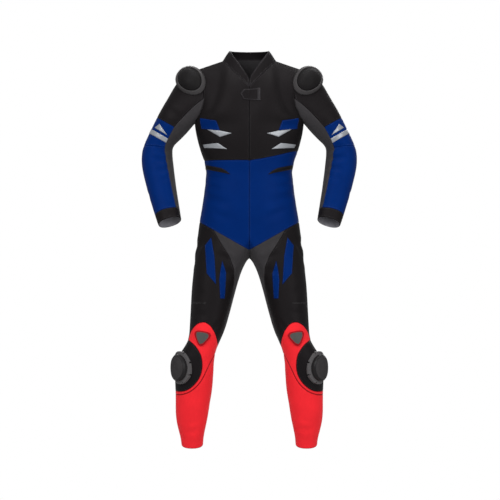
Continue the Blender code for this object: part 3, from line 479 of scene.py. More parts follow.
def apply_modifier(piece, kind, **settings):
    """Adds a modifier and applies it."""
    select_only(piece)
    modifier = piece.modifiers.new(kind.title(), kind)
    for key, value in settings.items():
        setattr(modifier, key, value)
    bpy.ops.object.modifier_apply(modifier=modifier.name)
    piece.select_set(False)


def walled(name, sheet, wall):
    """A piece made from a sheet, which is its outer side, with its wall behind it."""
    piece = new_object(name, bpy.data.meshes.new(name))
    sheet.to_mesh(piece.data)
    sheet.free()
    apply_modifier(piece, "SOLIDIFY", thickness=wall, offset=-1)
    return piece


def grid_sheet(rows):
    """A sheet through rows of points."""
    sheet = bmesh.new()
    rows = [[sheet.verts.new(place) for place in row] for row in rows]
    for low, high in zip(rows, rows[1:]):
        for corners in zip(low, low[1:], high[1:], high):
            sheet.faces.new(corners)
    sheet.normal_update()
    return sheet


def own(piece, node, *finishes):
    """Finishes a piece that stands for a CAD node."""
    for name in finishes:
        piece.data.materials.append(finish(name))
    piece.data.shade_smooth()
    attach(piece, "root")
    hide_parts(node)
    return piece


# ---- the skin of the whole suit


def joined_skin():
    """One mesh of the outer skins of all panels, welded at the seams, with the panel's number as material."""
    walls = bmesh.new()
    for node in (*PANELS, "front_zip"):
        walls.from_mesh(NODES[node].data)
    suit_walls = BVHTree.FromBMesh(walls)
    skin = bmesh.new()
    for number, node in enumerate((*PANELS, "front_zip")):
        wall = cad_copy(node)
        twins = {}
        for face in outer_faces(wall, suit_walls):
            corners = []
            for vert in face.verts:
                if vert not in twins:
                    twins[vert] = skin.verts.new(vert.co)
                corners.append(twins[vert])
            skin.faces.new(corners).material_index = number
        wall.free()
    walls.free()
    sewn = [v for v in skin.verts if v.is_boundary and not on_collar_front(v.co)]
    bmesh.ops.remove_doubles(skin, verts=sewn, dist=WELD)
    open_edges = [edge for edge in skin.edges if edge.is_boundary]
    for face in bmesh.ops.holes_fill(skin, edges=open_edges, sides=4)["faces"]:
        face.material_index = next(f.material_index for e in face.edges for f in e.link_faces if f != face)
    bmesh.ops.recalc_face_normals(skin, faces=skin.faces)
    share_zip(skin)
    bmesh.ops.join_triangles(
        skin,
        faces=skin.faces,
        cmp_materials=True,
        angle_face_threshold=QUAD_BEND,
        angle_shape_threshold=QUAD_SKEW,
    )
    seam = skin.edges.layers.float.new("crease_edge")
    for edge in skin.edges:
        if len({face.material_index for face in edge.link_faces}) > 1:
            edge[seam] = 1.0
    return skin


def on_collar_front(place):
    return abs(place.x) < 2 * CENTRE and place.z > COLLAR_FOOT and place.y < 0


def on_zip(place):
    return abs(place.x) < CENTRE and place.y < 0 and ZIP_FOOT + ZIP_END < place.z < COLLAR_FOOT


def share_zip(skin):
    """The leather closes over the zip, so each half of its strip goes to the panel beside it."""
    zip_number = len(PANELS)
    strip = [face for face in skin.faces if face.material_index == zip_number]
    for face in strip:
        middle = face.calc_center_median()
        side = "left" if middle.x > 0 else "right"
        part = "chest" if middle.z > CHEST_SEAM_Z else "belly"
        face.material_index = PANELS.index(f"{side}_{part}")


def skin_tree():
    """The whole smooth skin, for finding places on it."""
    skin = bpy.data.meshes["suit_skin"]
    return BVHTree.FromPolygons(points_of(skin).tolist(), [tuple(face.vertices) for face in skin.polygons])


def on_front(tree, x, z):
    """Where a look straight from the front meets the skin, and the normal there."""
    return tree.ray_cast(Vector((x, -1, z)), Vector((0, 1, 0)))[:2]


def fitted_subdivision(piece):
    """Subdivides, after moving the points out by as much as the smoothing will pull them in."""
    before = points_of(piece.data)
    normals = normals_of(piece.data)
    trial = new_object("trial", piece.data.copy())
    apply_modifier(trial, "SUBSURF", levels=SMOOTHING, render_levels=SMOOTHING)
    after = points_of(trial.data)[: len(before)]
    bpy.data.objects.remove(trial)
    pulled = np.sum((before - after) * normals, axis=1, keepdims=True)
    set_points(piece.data, before + pulled * normals)
    apply_modifier(piece, "SUBSURF", levels=SMOOTHING, render_levels=SMOOTHING)


def smooth_skin():
    """The suit's whole skin as one smooth mesh."""
    skin = joined_skin()
    mesh = bpy.data.meshes.new("suit_skin")
    skin.to_mesh(mesh)
    skin.free()
    piece = new_object("suit_skin", mesh)
    for _ in PANELS:
        mesh.materials.append(None)  # a slot for each panel's number
    fitted_subdivision(piece)
    mesh = piece.data
    bpy.data.objects.remove(piece)
    return mesh


# ---- panels


def panel_part(skin, number):
    """One panel of the skin, and the skin's number of each of its points."""
    faces = [tuple(f.vertices) for f in skin.polygons if f.material_index == number]
    used = sorted({v for face in faces for v in face})
    panel = bmesh.new()
    verts = {v: panel.verts.new(skin.vertices[v].co) for v in used}
    for face in faces:
        panel.faces.new([verts[v] for v in face])
    panel.normal_update()
    panel.verts.index_update()
    return panel, used


def from_border(panel):
    """The distance of each point of a sheet from the sheet's border."""
    border = [edge for edge in panel.edges if edge.is_boundary]
    starts = np.array([edge.verts[0].co for edge in border])
    ways = np.array([edge.verts[1].co for edge in border]) - starts
    squares = np.sum(ways**2, axis=1)
    away = {}
    for vert in panel.verts:
        if vert.is_boundary:
            away[vert] = 0.0
            continue
        offsets = np.array(vert.co) - starts
        shares = np.clip(np.sum(offsets * ways, axis=1) / squares, 0, 1)
        away[vert] = float(np.linalg.norm(offsets - ways * shares[:, None], axis=1).min())
    return away


def cut_along(panel, away, level):
    """Cuts a sheet's faces along the line that runs at one distance from its border."""
    for vert, distance in away.items():
        if not vert.is_boundary and abs(distance - level) < LEVEL_NEAR:
            away[vert] = level
    for edge in panel.edges[:]:
        one, other = edge.verts
        if (away[one] - level) * (away[other] - level) < 0:
            share = (level - away[one]) / (away[other] - away[one])
            away[bmesh.utils.edge_split(edge, one, share)[1]] = level
    for face in panel.faces[:]:
        loop = list(face.verts)
        marks = [k for k, vert in enumerate(loop) if away[vert] == level]
        for k, after in zip(marks, marks[1:] + marks[:1]):
            run = loop[k + 1 : after] if after > k else loop[k + 1 :] + loop[:after]
            rest = [vert for vert in loop if vert not in run and vert not in (loop[k], loop[after])]
            if run and rest and all(away[vert] > level for vert in run):
                bmesh.utils.face_split(face, loop[k], loop[after])
                break


def roll_edges(panel, normals, sizes):
    """Lets the border dip, over rings of even width. Returns each point's distance from the border."""
    away = from_border(panel)
    rim = [vert for vert in panel.verts if vert.is_boundary]
    dips = [(sizes.seam_roll * share, sizes.seam_depth * dip) for share, dip in EDGE_ROLL]
    for level, _ in dips:
        cut_along(panel, away, level)
    cut_along(panel, away, sizes.stitch_inset)
    panel.normal_update()
    for level, dip in dips:
        for vert in [vert for vert, distance in away.items() if distance == level]:
            vert.co -= vert.normal * dip
    for vert in rim:
        inwards = Vector()
        for edge in vert.link_edges:
            if away[edge.other_vert(vert)] > 0:
                inwards += (edge.other_vert(vert).co - vert.co).normalized()
        if inwards.length > 0:
            gap = sizes.zip_gap if on_zip(vert.co) else sizes.seam_gap
            vert.co += inwards.normalized() * gap
        vert.co -= normals[vert.index] * sizes.seam_depth
    return away


def panel_wall(name, panel, rim_normals, thickness, edges):
    """A mesh of the panel's outer side, a lining under it and the rim between them.

    At the rim, the wall runs along the whole skin's normals, so that two panels stay closed at their seam.
    edges gives the material number of the faces along an edge that is bound or painted.
    """
    panel.normal_update()
    panel.verts.index_update()
    outer = np.array([v.co for v in panel.verts])
    normals = np.array([v.normal for v in panel.verts])
    for number, normal in rim_normals.items():
        normals[number] = normal
    count = len(outer)
    faces, materials = [], []
    for face in panel.faces:
        loop = [v.index for v in face.verts]
        faces += [loop, [v + count for v in reversed(loop)]]
        materials += [edges.get(face, 0), edges.get(face, 1)]
        for corner in face.loops:
            if corner.edge.is_boundary:
                a, b = corner.vert.index, corner.link_loop_next.vert.index
                faces.append([b, a, a + count, b + count])
                materials.append(edges.get(face, 0))
    return mesh_from(name, np.vstack([outer, outer - normals * thickness]), faces, materials)


def along_border(panel, away, width):
    """The faces that lie no further than that from the border."""
    return [face for face in panel.faces if max(away[vert] for vert in face.verts) <= width]


def level_edges(panel, away, level):
    """The edges that run at one distance from the border."""
    return [edge for edge in panel.edges if all(away[vert] == level for vert in edge.verts)]


def chains(edges):
    """The edges as runs of points with their normals."""
    left = dict.fromkeys(edges)
    while left:
        edge = left.popitem()[0]
        run = list(edge.verts)
        for end in (-1, 0):
            while near := next((edge for edge in run[end].link_edges if edge in left), None):
                del left[near]
                run.insert(len(run) if end else 0, near.other_vert(run[end]))
        yield [(v.co.copy(), v.normal.copy()) for v in run]


class SUIT_OT_panels(bpy.types.Operator):
    """Smooths and creases the suit's skin and cuts it into its leather and stretch panels"""

    bl_idname = "race_suit.panels"
    bl_label = "Panels"

    def execute(self, context):
        sizes = context.scene.suit_sizes
        skin = smooth_skin()
        press_creases(skin, sizes.crease)
        normals = [Vector(n) for n in normals_of(skin)]
        for number, node in enumerate(PANELS):
            panel, used = panel_part(skin, number)
            rim = {v.index: normals[used[v.index]] for v in panel.verts if v.is_boundary}
            away = roll_edges(panel, rim, sizes)
            panel.normal_update()
            seam = level_edges(panel, away, sizes.stitch_inset)
            thread = "charcoal_thread" if node == "collar" else THREADS[SLOTS[node]]
            SEWING.setdefault(thread, []).extend(chains(seam))
            edges = dict.fromkeys(along_border(panel, away, sizes.seam_roll), 2) if named(EDGES, node) else {}
            wall = sizes.stretch if SLOTS[node] == "stretch_cloth" else sizes.leather
            shell = new_object(f"{node}_shell", panel_wall(node, panel, rim, wall, edges))
            panel.free()
            finishes = (SLOTS[node], named(INNER, node) or "lining", named(EDGES, node))
            own(shell, node, *filter(None, finishes))
            named(PANEL_CUTS, node)
        return {"FINISHED"}


# ---- creases

# Soft troughs, each a bend through three points seen from one side, on the wearer's left. Every one comes
# back on the right, a little shifted and not quite as deep. One that starts on the middle line is there once.
# A row gives how far across and how high the three points are, and the width and the depth, in millimetres.
FRONT_CREASES = (
    # drag lines from the armpit over the chest
    (176, -205, 150, -186, 122, -176, 10, 3.0),
    (182, -236, 150, -232, 112, -238, 12, 2.6),
    (180, -275, 160, -284, 135, -287, 9, 1.6),
    # waist
    (155, -398, 118, -412, 70, -410, 13, 3.4),
    (158, -430, 130, -446, 100, -448, 10, 2.4),
    (163, -470, 120, -494, 60, -503, 14, 2.8),
    (60, -560, 95, -548, 140, -520, 12, 2.0),
    # hip and crotch
    (35, -722, 66, -704, 112, -684, 10, 3.4),
    (50, -760, 80, -752, 110, -756, 10, 2.4),
    (160, -640, 178, -668, 186, -700, 11, 2.2),
    # front of the thigh, and above the knee
    (196, -800, 176, -822, 150, -832, 12, 1.8),
    (200, -892, 176, -902, 140, -900, 10, 2.2),
    (104, -930, 118, -946, 124, -962, 9, 2.0),
    # bend of the elbow, seen from the front
    (285, -318, 312, -312, 338, -296, 9, 3.4),
    (283, -345, 315, -348, 350, -338, 10, 4.2),
    (281, -372, 306, -384, 340, -386, 9, 3.4),
    (283, -408, 300, -418, 322, -420, 8, 2.0),
    # upper arm and wrist
    (246, -196, 270, -178, 292, -172, 11, 2.6),
    (232, -160, 252, -146, 272, -146, 9, 2.0),
    (264, -506, 290, -512, 320, -502, 8, 1.8),
    # ankle
    (176, -1316, 204, -1322, 232, -1312, 10, 2.2),
    (186, -1280, 206, -1288, 226, -1288, 9, 1.4),
)
OUTER_CREASES = (
    # outside of the arm, the hip and the calf
    (-40, -470, -10, -486, 10, -482, 10, 1.8),
    (-60, -640, -20, -655, 40, -650, 13, 2.6),
    (60, -700, 30, -715, -20, -712, 12, 2.2),
    (34, -1180, 44, -1215, 40, -1250, 12, 2.0),
)
BACK_CREASES = (
    # back: shoulder blades, waist, seat
    (168, -180, 130, -170, 90, -186, 13, 3.0),
    (176, -235, 140, -244, 105, -236, 11, 2.4),
    (150, -386, 100, -402, 35, -398, 13, 3.6),
    (0, -428, 60, -424, 125, -438, 12, 2.6),
    (152, -458, 110, -468, 70, -464, 10, 2.2),
    (40, -766, 90, -790, 160, -782, 14, 4.0),
    (62, -808, 100, -822, 142, -820, 11, 2.4),
    # back of the elbow's bend and behind the knee
    (290, -332, 320, -338, 346, -328, 10, 2.2),
    (116, -1010, 160, -1024, 214, -1014, 11, 4.2),
    (126, -1052, 176, -1070, 236, -1058, 12, 5.0),
    (140, -1098, 186, -1112, 232, -1108, 11, 3.4),
    (116, -964, 150, -974, 190, -966, 10, 2.2),
    (172, -1306, 204, -1314, 236, -1306, 10, 2.0),
)
# Each view's creases, the way that it is seen from, and the axis across it.
VIEWS = (
    (FRONT_CREASES, Vector((0, -1, 0)), Vector((1, 0, 0))),
    (OUTER_CREASES, Vector((1, 0, 0)), Vector((0, 1, 0))),
    (BACK_CREASES, Vector((0, 1, 0)), Vector((1, 0, 0))),
)
CREASE_STEPS = 24  # points along a crease
CREASE_START = 0.06  # a crease starts with some depth, this share of the way into its arch
CREASE_ARCH = 0.6  # exponent of the arch: 1 is a sine, less has steeper ends
CREASE_LIP = 0.30  # height of the soft ridges beside a trough, as a share of its depth
LIP_OFFSET = 1.9  # from the trough to its ridges, in widths
LIP_STEEP = 1.4  # how much steeper a ridge is than the trough
CREASE_REACH = 3.5  # how far a crease is felt, in widths
CREASE_BOX = 50 * MM  # more than any crease reaches
MIRROR = Vector((-1, 1, 1))
RIGHT_SHIFT = Vector((0.004, 0, -0.007))
RIGHT_DEPTH = 0.8


def crease_line(tree, ends, facing, sideways, mirrored):
    """Points of a crease on the skin, with the share of its depth at each."""
    steps = np.linspace(0, 1, CREASE_STEPS)
    bend = [np.polyval(np.polyfit((0, 0.5, 1), ends[:, axis], 2), steps) for axis in (0, 1)]
    line = []
    for step, across, z in zip(steps, *bend):
        start, aim = sideways * across + Vector((0, 0, z)) + facing, -facing
        if mirrored:
            start, aim = (start + RIGHT_SHIFT) * MIRROR, aim * MIRROR
        hit = tree.ray_cast(start, aim)[0]
        if hit is not None:
            turn = min(1.0, CREASE_START + step * (1 - CREASE_START))
            line.append((hit, math.sin(math.pi * turn) ** CREASE_ARCH))
    return line


def press_crease(places, pushed, line, width, depth):
    """Adds a crease to how far each point of the skin is pushed in or out."""
    spots, depths = (np.array(part) for part in zip(*line))
    low, high = spots.min(axis=0) - CREASE_BOX, spots.max(axis=0) + CREASE_BOX
    near = np.flatnonzero(((places > low) & (places < high)).all(axis=1))
    away = np.linalg.norm(places[near, None] - spots[None], axis=2)
    closest = away.argmin(axis=1)
    off = away[np.arange(len(near)), closest] / width
    lips = np.exp(-((off - LIP_OFFSET) ** 2) * LIP_STEEP) * CREASE_LIP
    form = np.where(off < CREASE_REACH, lips - np.exp(-(off**2)), 0)
    pushed[near] += form * depths[closest] * depth


def press_creases(mesh, share):
    """Pushes all the creases into the skin."""
    tree = skin_tree()
    places, normals = points_of(mesh), normals_of(mesh)
    pushed = np.zeros(len(places))
    for rows, facing, sideways in VIEWS:
        for *bend, width, depth in np.array(rows) * MM:
            ends = np.reshape(bend, (3, 2))
            for mirrored in (False, True) if ends[0, 0] else (False,):
                line = crease_line(tree, ends, facing, sideways, mirrored)
                press_crease(places, pushed, line, width, depth * share * (RIGHT_DEPTH if mirrored else 1))
    set_points(mesh, places + normals * pushed[:, None])


# ---- sewing


STITCH_HALF = 0.3  # half of a stitch's length, as a share of the pitch
STITCH_RING = 4  # points in each of its two rings
STITCH_BODY = 0.32  # from a stitch's middle to its rings, as a share of its length
STITCH_ROUND = 0.7  # radius of the rings, in half thicknesses of the thread
STITCH_DIVE = 0.3  # how deep its ends go into the leather, in the same measure


def unit(way):
    return way / np.linalg.norm(way)


def travelled(spots):
    """The way along a run of points, from its start to each of them."""
    return np.concatenate([[0], np.cumsum(np.linalg.norm(np.diff(spots, axis=0), axis=1))])


def on_the_way(at, travel, values):
    """The values that belong to the points of a run, read at a place between them."""
    return np.array([np.interp(at, travel, column) for column in values.T])


def stitches(run, pitch):
    """Evenly spaced places along a run: (middle, along, up)."""
    spots, ups = (np.array(part) for part in zip(*run))
    travel = travelled(spots)
    for k in range(int(travel[-1] / pitch)):
        at = (k + 0.5) * pitch
        start, end = (on_the_way(at + share * pitch, travel, spots) for share in (-STITCH_HALF, STITCH_HALF))
        yield (start + end) / 2, end - start, on_the_way(at, travel, ups)


def stitch_shape():
    """Points and faces of one stitch, 1 long along X and 1 thick, with rounded ends."""
    points = [(-0.5, 0, -STITCH_DIVE), (0.5, 0, -STITCH_DIVE)]
    for x in (-STITCH_BODY, STITCH_BODY):
        for k in range(STITCH_RING):
            angle = math.tau * (k + 0.5) / STITCH_RING
            points.append((x, STITCH_ROUND * math.cos(angle), STITCH_ROUND * math.sin(angle)))
    faces = []
    for k in range(STITCH_RING):
        a, b = 2 + k, 2 + (k + 1) % STITCH_RING
        faces += [(0, b, a), (a, b, b + STITCH_RING, a + STITCH_RING), (1, a + STITCH_RING, b + STITCH_RING)]
    return np.array(points), faces


def spread_shape(name, shape, places):
    """A mesh of many copies of one small shape. Each place is (middle, x axis, y axis, z axis)."""
    points, faces = shape
    all_points, all_faces = [], []
    for middle, *axes in places:
        start = len(all_points) * len(points)
        all_points.append(points @ np.array(axes) + middle)
        all_faces += [[start + v for v in face] for face in faces]
    return mesh_from(name, np.concatenate(all_points), all_faces)


THIGH_TUCK_Z = -0.866  # two short rows of stitches across the outside of each thigh
THIGH_TUCK_X = (0.154, 0.207)
THIGH_TUCK_ROWS = (-1.6 * MM, 1.6 * MM)
THIGH_TUCK_STEPS = 14


def thigh_tucks(tree):
    """The two rows of stitches across the outside of each thigh."""
    for _, sign in SIDES:
        for row in THIGH_TUCK_ROWS:
            line = np.linspace(*THIGH_TUCK_X, THIGH_TUCK_STEPS)
            found = [on_front(tree, x * sign, THIGH_TUCK_Z + row) for x in line]
            yield [place for place in found if place[0] is not None]


class SUIT_OT_sewing(bpy.types.Operator):
    """Sews a row of stitches beside every seam, in a thread for each colour of leather"""

    bl_idname = "race_suit.sewing"
    bl_label = "Sewing"

    def execute(self, context):
        sizes = context.scene.suit_sizes
        shape = stitch_shape()
        SEWING["charcoal_thread"].extend(thigh_tucks(skin_tree()))
        for thread, runs in SEWING.items():
            places = []
            for run in runs:
                for middle, along, up in stitches(run, sizes.stitch_pitch):
                    up = unit(up)
                    side = unit(np.cross(up, along))
                    places.append((middle, along, side * sizes.thread / 2, up * sizes.thread / 2))
            piece = new_object(f"{thread}_sewing", spread_shape(thread, shape, places))
            piece.data.materials.append(finish(thread))
            piece.data.shade_smooth()
            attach(piece, "root")
            THREAD_SLOTS.get(thread, "black_leather")
        return {"FINISHED"}


# ---- flashes

GRID = 5.0 * MM  # longest edge of a flash, so that it follows the panel under it
LIFT = 0.1 * MM  # between a flash and the panel
FLASH_STITCH = 2.5 * MM  # from a flash's edge to its stitches
FLASH_DIP = 0.5 * MM  # how far its cut edge dips
FACES_OUT = 0.7  # cosine between the skin's normal and that of a flash's upper faces, at least
NARROW = 0.8  # stitches no nearer to another edge than this share of their own distance from it


def laid_on(node, tree, height):
    """The upper side of a node that lies on the skin, divided finely and fitted to the skin at a height."""
    sheet = cad_copy(node)
    skin_faces = [tree.find_nearest(face.calc_center_median())[1] for face in sheet.faces]
    lower = [face for face, out in zip(sheet.faces, skin_faces) if face.normal.dot(out) < FACES_OUT]
    bmesh.ops.delete(sheet, geom=lower, context="FACES")
    while wide := [edge for edge in sheet.edges if edge.calc_length() > GRID]:
        bmesh.ops.subdivide_edges(sheet, edges=wide, cuts=1, use_grid_fill=True)
        bmesh.ops.triangulate(sheet, faces=[face for face in sheet.faces if len(face.verts) > 4])
    for vert in sheet.verts:
        spot, normal, _, _ = tree.find_nearest(vert.co)
        vert.co = spot + normal * height
    sheet.normal_update()
    return sheet


def cut_edge(sheet, depth):
    """Lets the border dip, as the cut edge of leather does."""
    for vert in sheet.verts:
        if vert.is_boundary:
            vert.co -= vert.normal * depth


def edge_rows(sheet, inset_by):
    """Runs of points that far inside the border, with their normals, but for where the sheet is narrow."""
    ends = np.array([v.co for v in sheet.verts if v.is_boundary])
    for run in chains([edge for edge in sheet.edges if edge.is_boundary]):
        spots, ups = (np.array(part) for part in zip(*run))
        side = np.cross(ups, np.gradient(spots, axis=0))
        side /= np.linalg.norm(side, axis=1)[:, None]
        if np.sum(side * (np.mean(spots, axis=0) - spots)) < 0:
            side = -side
        row = []
        for place, up in zip(spots + side * inset_by, ups):
            if np.linalg.norm(ends - place, axis=1).min() > inset_by * NARROW:
                row.append((Vector(place), Vector(up)))
                continue
            if len(row) > 1:
                yield row
            row = []
        if len(row) > 1:
            yield row


class SUIT_OT_flashes(bpy.types.Operator):
    """Lays the leather flashes, darts and stripes on their panels"""

    bl_idname = "race_suit.flashes"
    bl_label = "Flashes"

    def execute(self, context):
        sizes = context.scene.suit_sizes
        tree = skin_tree()
        for node in FLASHES:
            sheet = laid_on(node, tree, LIFT + sizes.applique)
            SEWING.setdefault(THREADS[SLOTS[node]], []).extend(edge_rows(sheet, FLASH_STITCH))
            cut_edge(sheet, FLASH_DIP)
            piece = walled(f"{node}_leather", sheet, sizes.applique)
            own(piece, node, SLOTS[node])
            named(FLASH_CUTS, node)
        return {"FINISHED"}


# ---- zip and neck tab

TOOTH_PITCH = 1.9 * MM
TOOTH = (2.6 * MM, 1.5 * MM, 1.3 * MM)  # across, deep, along the zip
TOOTH_DEPTH = 1.9 * MM  # from the leather's surface to the middle of a tooth
TAPE_HALF_WIDTH = 9.0 * MM
TAPE_DEPTH = 2.9 * MM
TAPE_ROWS = 90
TAPE_WALL = 0.6 * MM
TOOTH_SIDE = 0.3  # each tooth sits this share of its width to one side of the middle
SQUARE = ((-1, -1), (1, -1), (1, 1), (-1, 1))
TOOTH_RINGS = ((0.5, -0.5), (0.5, 0.25), (0.32, 0.5))  # half widths and heights of a unit tooth


def tooth_shape():
    """Points and faces of a unit tooth, a block with its upper edges bevelled."""
    points = [(x * half, y * half, z) for half, z in TOOTH_RINGS for x, y in SQUARE]
    faces = [(3, 2, 1, 0), (8, 9, 10, 11)]
    for ring in (0, 4):
        for k in range(4):
            a, b = ring + k, ring + (k + 1) % 4
            faces.append((a, b, b + 4, a + 4))
    return np.array(points), faces


def zip_line(tree, count):
    """Places down the middle of the front: (spot, along, outwards)."""
    line = np.array([on_front(tree, 0, z)[0] for z in np.linspace(ZIP_TOP, ZIP_FOOT, count)])
    along = np.gradient(line, axis=0)
    along /= np.linalg.norm(along, axis=1)[:, None]
    out = np.cross(along, (1, 0, 0))
    return [(spot, down, up if up[1] < 0 else -up) for spot, down, up in zip(line, along, out)]


class SUIT_OT_zip(bpy.types.Operator):
    """Makes the front zip, of moulded teeth on a tape that lies behind the leather"""

    bl_idname = "race_suit.zip"
    bl_label = "Front zip"

    def execute(self, context):
        tree = skin_tree()
        sideways = np.array((1.0, 0, 0))
        places = []
        for k, (spot, down, out) in enumerate(zip_line(tree, int((ZIP_TOP - ZIP_FOOT) / TOOTH_PITCH))):
            side = 1 if k % 2 else -1
            middle = spot + sideways * side * TOOTH[0] * TOOTH_SIDE - out * TOOTH_DEPTH
            places.append((middle, sideways * TOOTH[0], -down * TOOTH[2], out * TOOTH[1]))
        teeth = new_object("front_zip_teeth", spread_shape("zip_teeth", tooth_shape(), places))
        own(teeth, "front_zip", "zip_teeth")
        teeth.data.shade_flat()
        rows = [
            [spot + sideways * side * TAPE_HALF_WIDTH - out * TAPE_DEPTH for side in (1, 0, -1)]
            for spot, _, out in zip_line(tree, TAPE_ROWS)
        ]
        tape = walled("front_zip_tape", grid_sheet(rows), TAPE_WALL)
        own(tape, "front_zip", "zip_tape")
        return {"FINISHED"}


TAB_WALL = 2.0 * MM
TAB_BINDING = 2.6 * MM
TAB_BAR_X = (0.0295, 0.0397)  # a strip sewn over the tab's fixed end
TAB_BAR_Z = (-0.1460, -0.1005)
TAB_BAR_COLUMNS = 4
TAB_BAR_ROWS = 16
TAB_BAR_WALL = 1.4 * MM
TAB_BAR_INSET = 1.8 * MM  # from the bar's edge to its stitches


def tab_bar(tree):
    """A sheet of the bar's shape, laid over the tab."""
    rows = []
    for z in np.linspace(*TAB_BAR_Z, TAB_BAR_ROWS):
        found = [on_front(tree, x, z) for x in np.linspace(*TAB_BAR_X, TAB_BAR_COLUMNS)]
        rows.append([spot + normal * (LIFT + TAB_WALL + TAB_BAR_WALL) for spot, normal in found])
    return grid_sheet(rows)


class SUIT_OT_neck_tab(bpy.types.Operator):
    """Lays the bound neck tab over the top of the zip, with a stitched bar at its fixed end"""

    bl_idname = "race_suit.neck_tab"
    bl_label = "Neck tab"

    def execute(self, context):
        tree = skin_tree()
        sheet = laid_on("neck_tab", tree, LIFT + TAB_WALL)
        away = from_border(sheet)
        cut_along(sheet, away, TAB_BINDING)
        for face in along_border(sheet, away, TAB_BINDING):
            face.material_index = 1
        sheet.normal_update()
        SEWING.setdefault("black_thread", []).extend(chains(level_edges(sheet, away, TAB_BINDING)))
        cut_edge(sheet, FLASH_DIP)
        piece = walled("neck_tab_leather", sheet, TAB_WALL)
        own(piece, "neck_tab", "black_leather", "binding")
        bar = tab_bar(tree)
        SEWING.setdefault("charcoal_thread", []).extend(edge_rows(bar, TAB_BAR_INSET))
        cut_edge(bar, FLASH_DIP)
        strip = walled("neck_tab_bar", bar, TAB_BAR_WALL)
        own(strip, "neck_tab", "binding")
        return {"FINISHED"}


# ---- hard pieces


HARD_EDGE = 32  # degrees between two faces of a hard piece, past which their edge is rounded
SLIDER_EDGE = 20  # the same for a knee slider
HARD_QUADS = {"face_threshold": math.radians(50), "shape_threshold": math.radians(60)}


def refined_copy(node, suffix, bevel, levels, angle=HARD_EDGE, mark=None):
    """A copy of a hard node with its triangles merged, its edges rounded and its faces smoothed."""
    piece = new_object(f"{node}_{suffix}", NODES[node].data.copy())
    piece.data.materials.clear()
    if mark:
        mark(piece, node)
    select_only(piece)
    bpy.ops.object.mode_set(mode="EDIT")
    bpy.ops.mesh.select_all(action="SELECT")
    bpy.ops.mesh.remove_doubles(threshold=MERGE)
    bpy.ops.mesh.tris_convert_to_quads(**HARD_QUADS)
    bpy.ops.object.mode_set(mode="OBJECT")
    apply_modifier(
        piece,
        "BEVEL",
        width=bevel,
        segments=2,
        limit_method="ANGLE",
        angle_limit=math.radians(angle),
        use_clamp_overlap=True,
    )
    apply_modifier(piece, "SUBSURF", levels=levels, render_levels=levels)
    return piece


def seat_axes(node):
    """Middle, long axis, short axis and outward axis of a hard node, from the spread of its points."""
    places = points_of(NODES[node].data)
    middle = places.mean(axis=0)
    axes = np.linalg.svd(places - middle, full_matrices=False)[2]
    leather_faces = skin_tree().find_nearest(Vector(middle))[1]
    return middle, axes[0], axes[1], axes[2] * np.sign(np.dot(axes[2], leather_faces))


RIBS = 66  # ribs round the edge of a shoulder ring
RIB = (2.8 * MM, 2.4 * MM)  # across and deep
RIB_OVER = 0.6 * MM  # how far a rib passes the ends of the wall that it is on
RIB_OUT = 0.2 * MM  # from the wall to the middle of a rib
RIB_BEVEL = 0.2  # as a share of the rib's sides
UPRIGHT = 0.9  # cosine between the outward axis and the edges that run up a wall
OUTER_SHARE = 0.86  # of a ring's half size: its outer wall is beyond this, and its inner wall isn't


def outer_wall(node):
    """The lower and upper ends of the edges up a ring's outer wall, in order round it."""
    ring = cad_copy(node)
    middle, *flat, out = seat_axes(node)
    posts = []
    for edge in ring.edges:
        low, high = sorted((np.array(v.co) - middle for v in edge.verts), key=lambda place: place @ out)
        if (high - low) @ out > UPRIGHT * np.linalg.norm(high - low):
            posts.append((*((low + high) @ axis / 2 for axis in flat), low + middle, high + middle))
    ring.free()
    halves = np.abs([post[:2] for post in posts]).max(axis=0)
    posts = [post for post in posts if math.hypot(*(post[:2] / halves)) > OUTER_SHARE]
    posts.sort(key=lambda post: math.atan2(post[1], post[0]))
    return np.array([post[2:] for post in posts])


def rib_shape():
    """Points and faces of one rib, a cube of size 1 with its edges bevelled."""
    bpy.ops.object.select_all(action="DESELECT")
    bpy.ops.mesh.primitive_cube_add(size=1)
    rib = bpy.context.active_object
    apply_modifier(rib, "BEVEL", width=RIB_BEVEL, segments=1)
    shape = points_of(rib.data), [tuple(face.vertices) for face in rib.data.polygons]
    bpy.data.objects.remove(rib)
    return shape


def ribs_round(node):
    """Places of evenly spaced ribs round a ring's outer wall."""
    wall = outer_wall(node)
    middle = wall.mean(axis=(0, 1))
    closed = np.concatenate([wall, wall[:1]]).reshape(-1, 6)
    travel = travelled(closed[:, :3] + closed[:, 3:])
    for at in np.linspace(0, travel[-1], RIBS, endpoint=False):
        low, high = on_the_way(at, travel, closed).reshape(2, 3)
        height = np.linalg.norm(high - low)
        tall = (high - low) / height
        out = (low + high) / 2 - middle
        out = unit(out - tall * np.dot(out, tall))
        across = np.cross(out, tall)
        yield (low + high) / 2 + out * RIB_OUT, across * RIB[0], out * RIB[1], tall * (height + 2 * RIB_OVER)


class SUIT_OT_shoulders(bpy.types.Operator):
    """Adds the moulded shoulder cups and the ribbed rings round them"""

    bl_idname = "race_suit.shoulders"
    bl_label = "Shoulder cups"

    def execute(self, context):
        shape = rib_shape()
        for side, _ in SIDES:
            cup, ring = f"{side}_shoulder_cup", f"{side}_shoulder_ring"
            own(refined_copy(cup, "shell", bevel=1.2 * MM, levels=2), cup, "cup")
            own(refined_copy(ring, "rim", bevel=1.2 * MM, levels=2), ring, "ring")
            ribs = new_object(f"{ring}_ribs", spread_shape(f"{ring}_ribs", shape, ribs_round(ring)))
            own(ribs, ring, "ring")
            ribs.data.shade_flat()
        return {"FINISHED"}


WALL_TILT = 0.33  # how far the faces of a hard piece's wall may lean out or in, as a sine


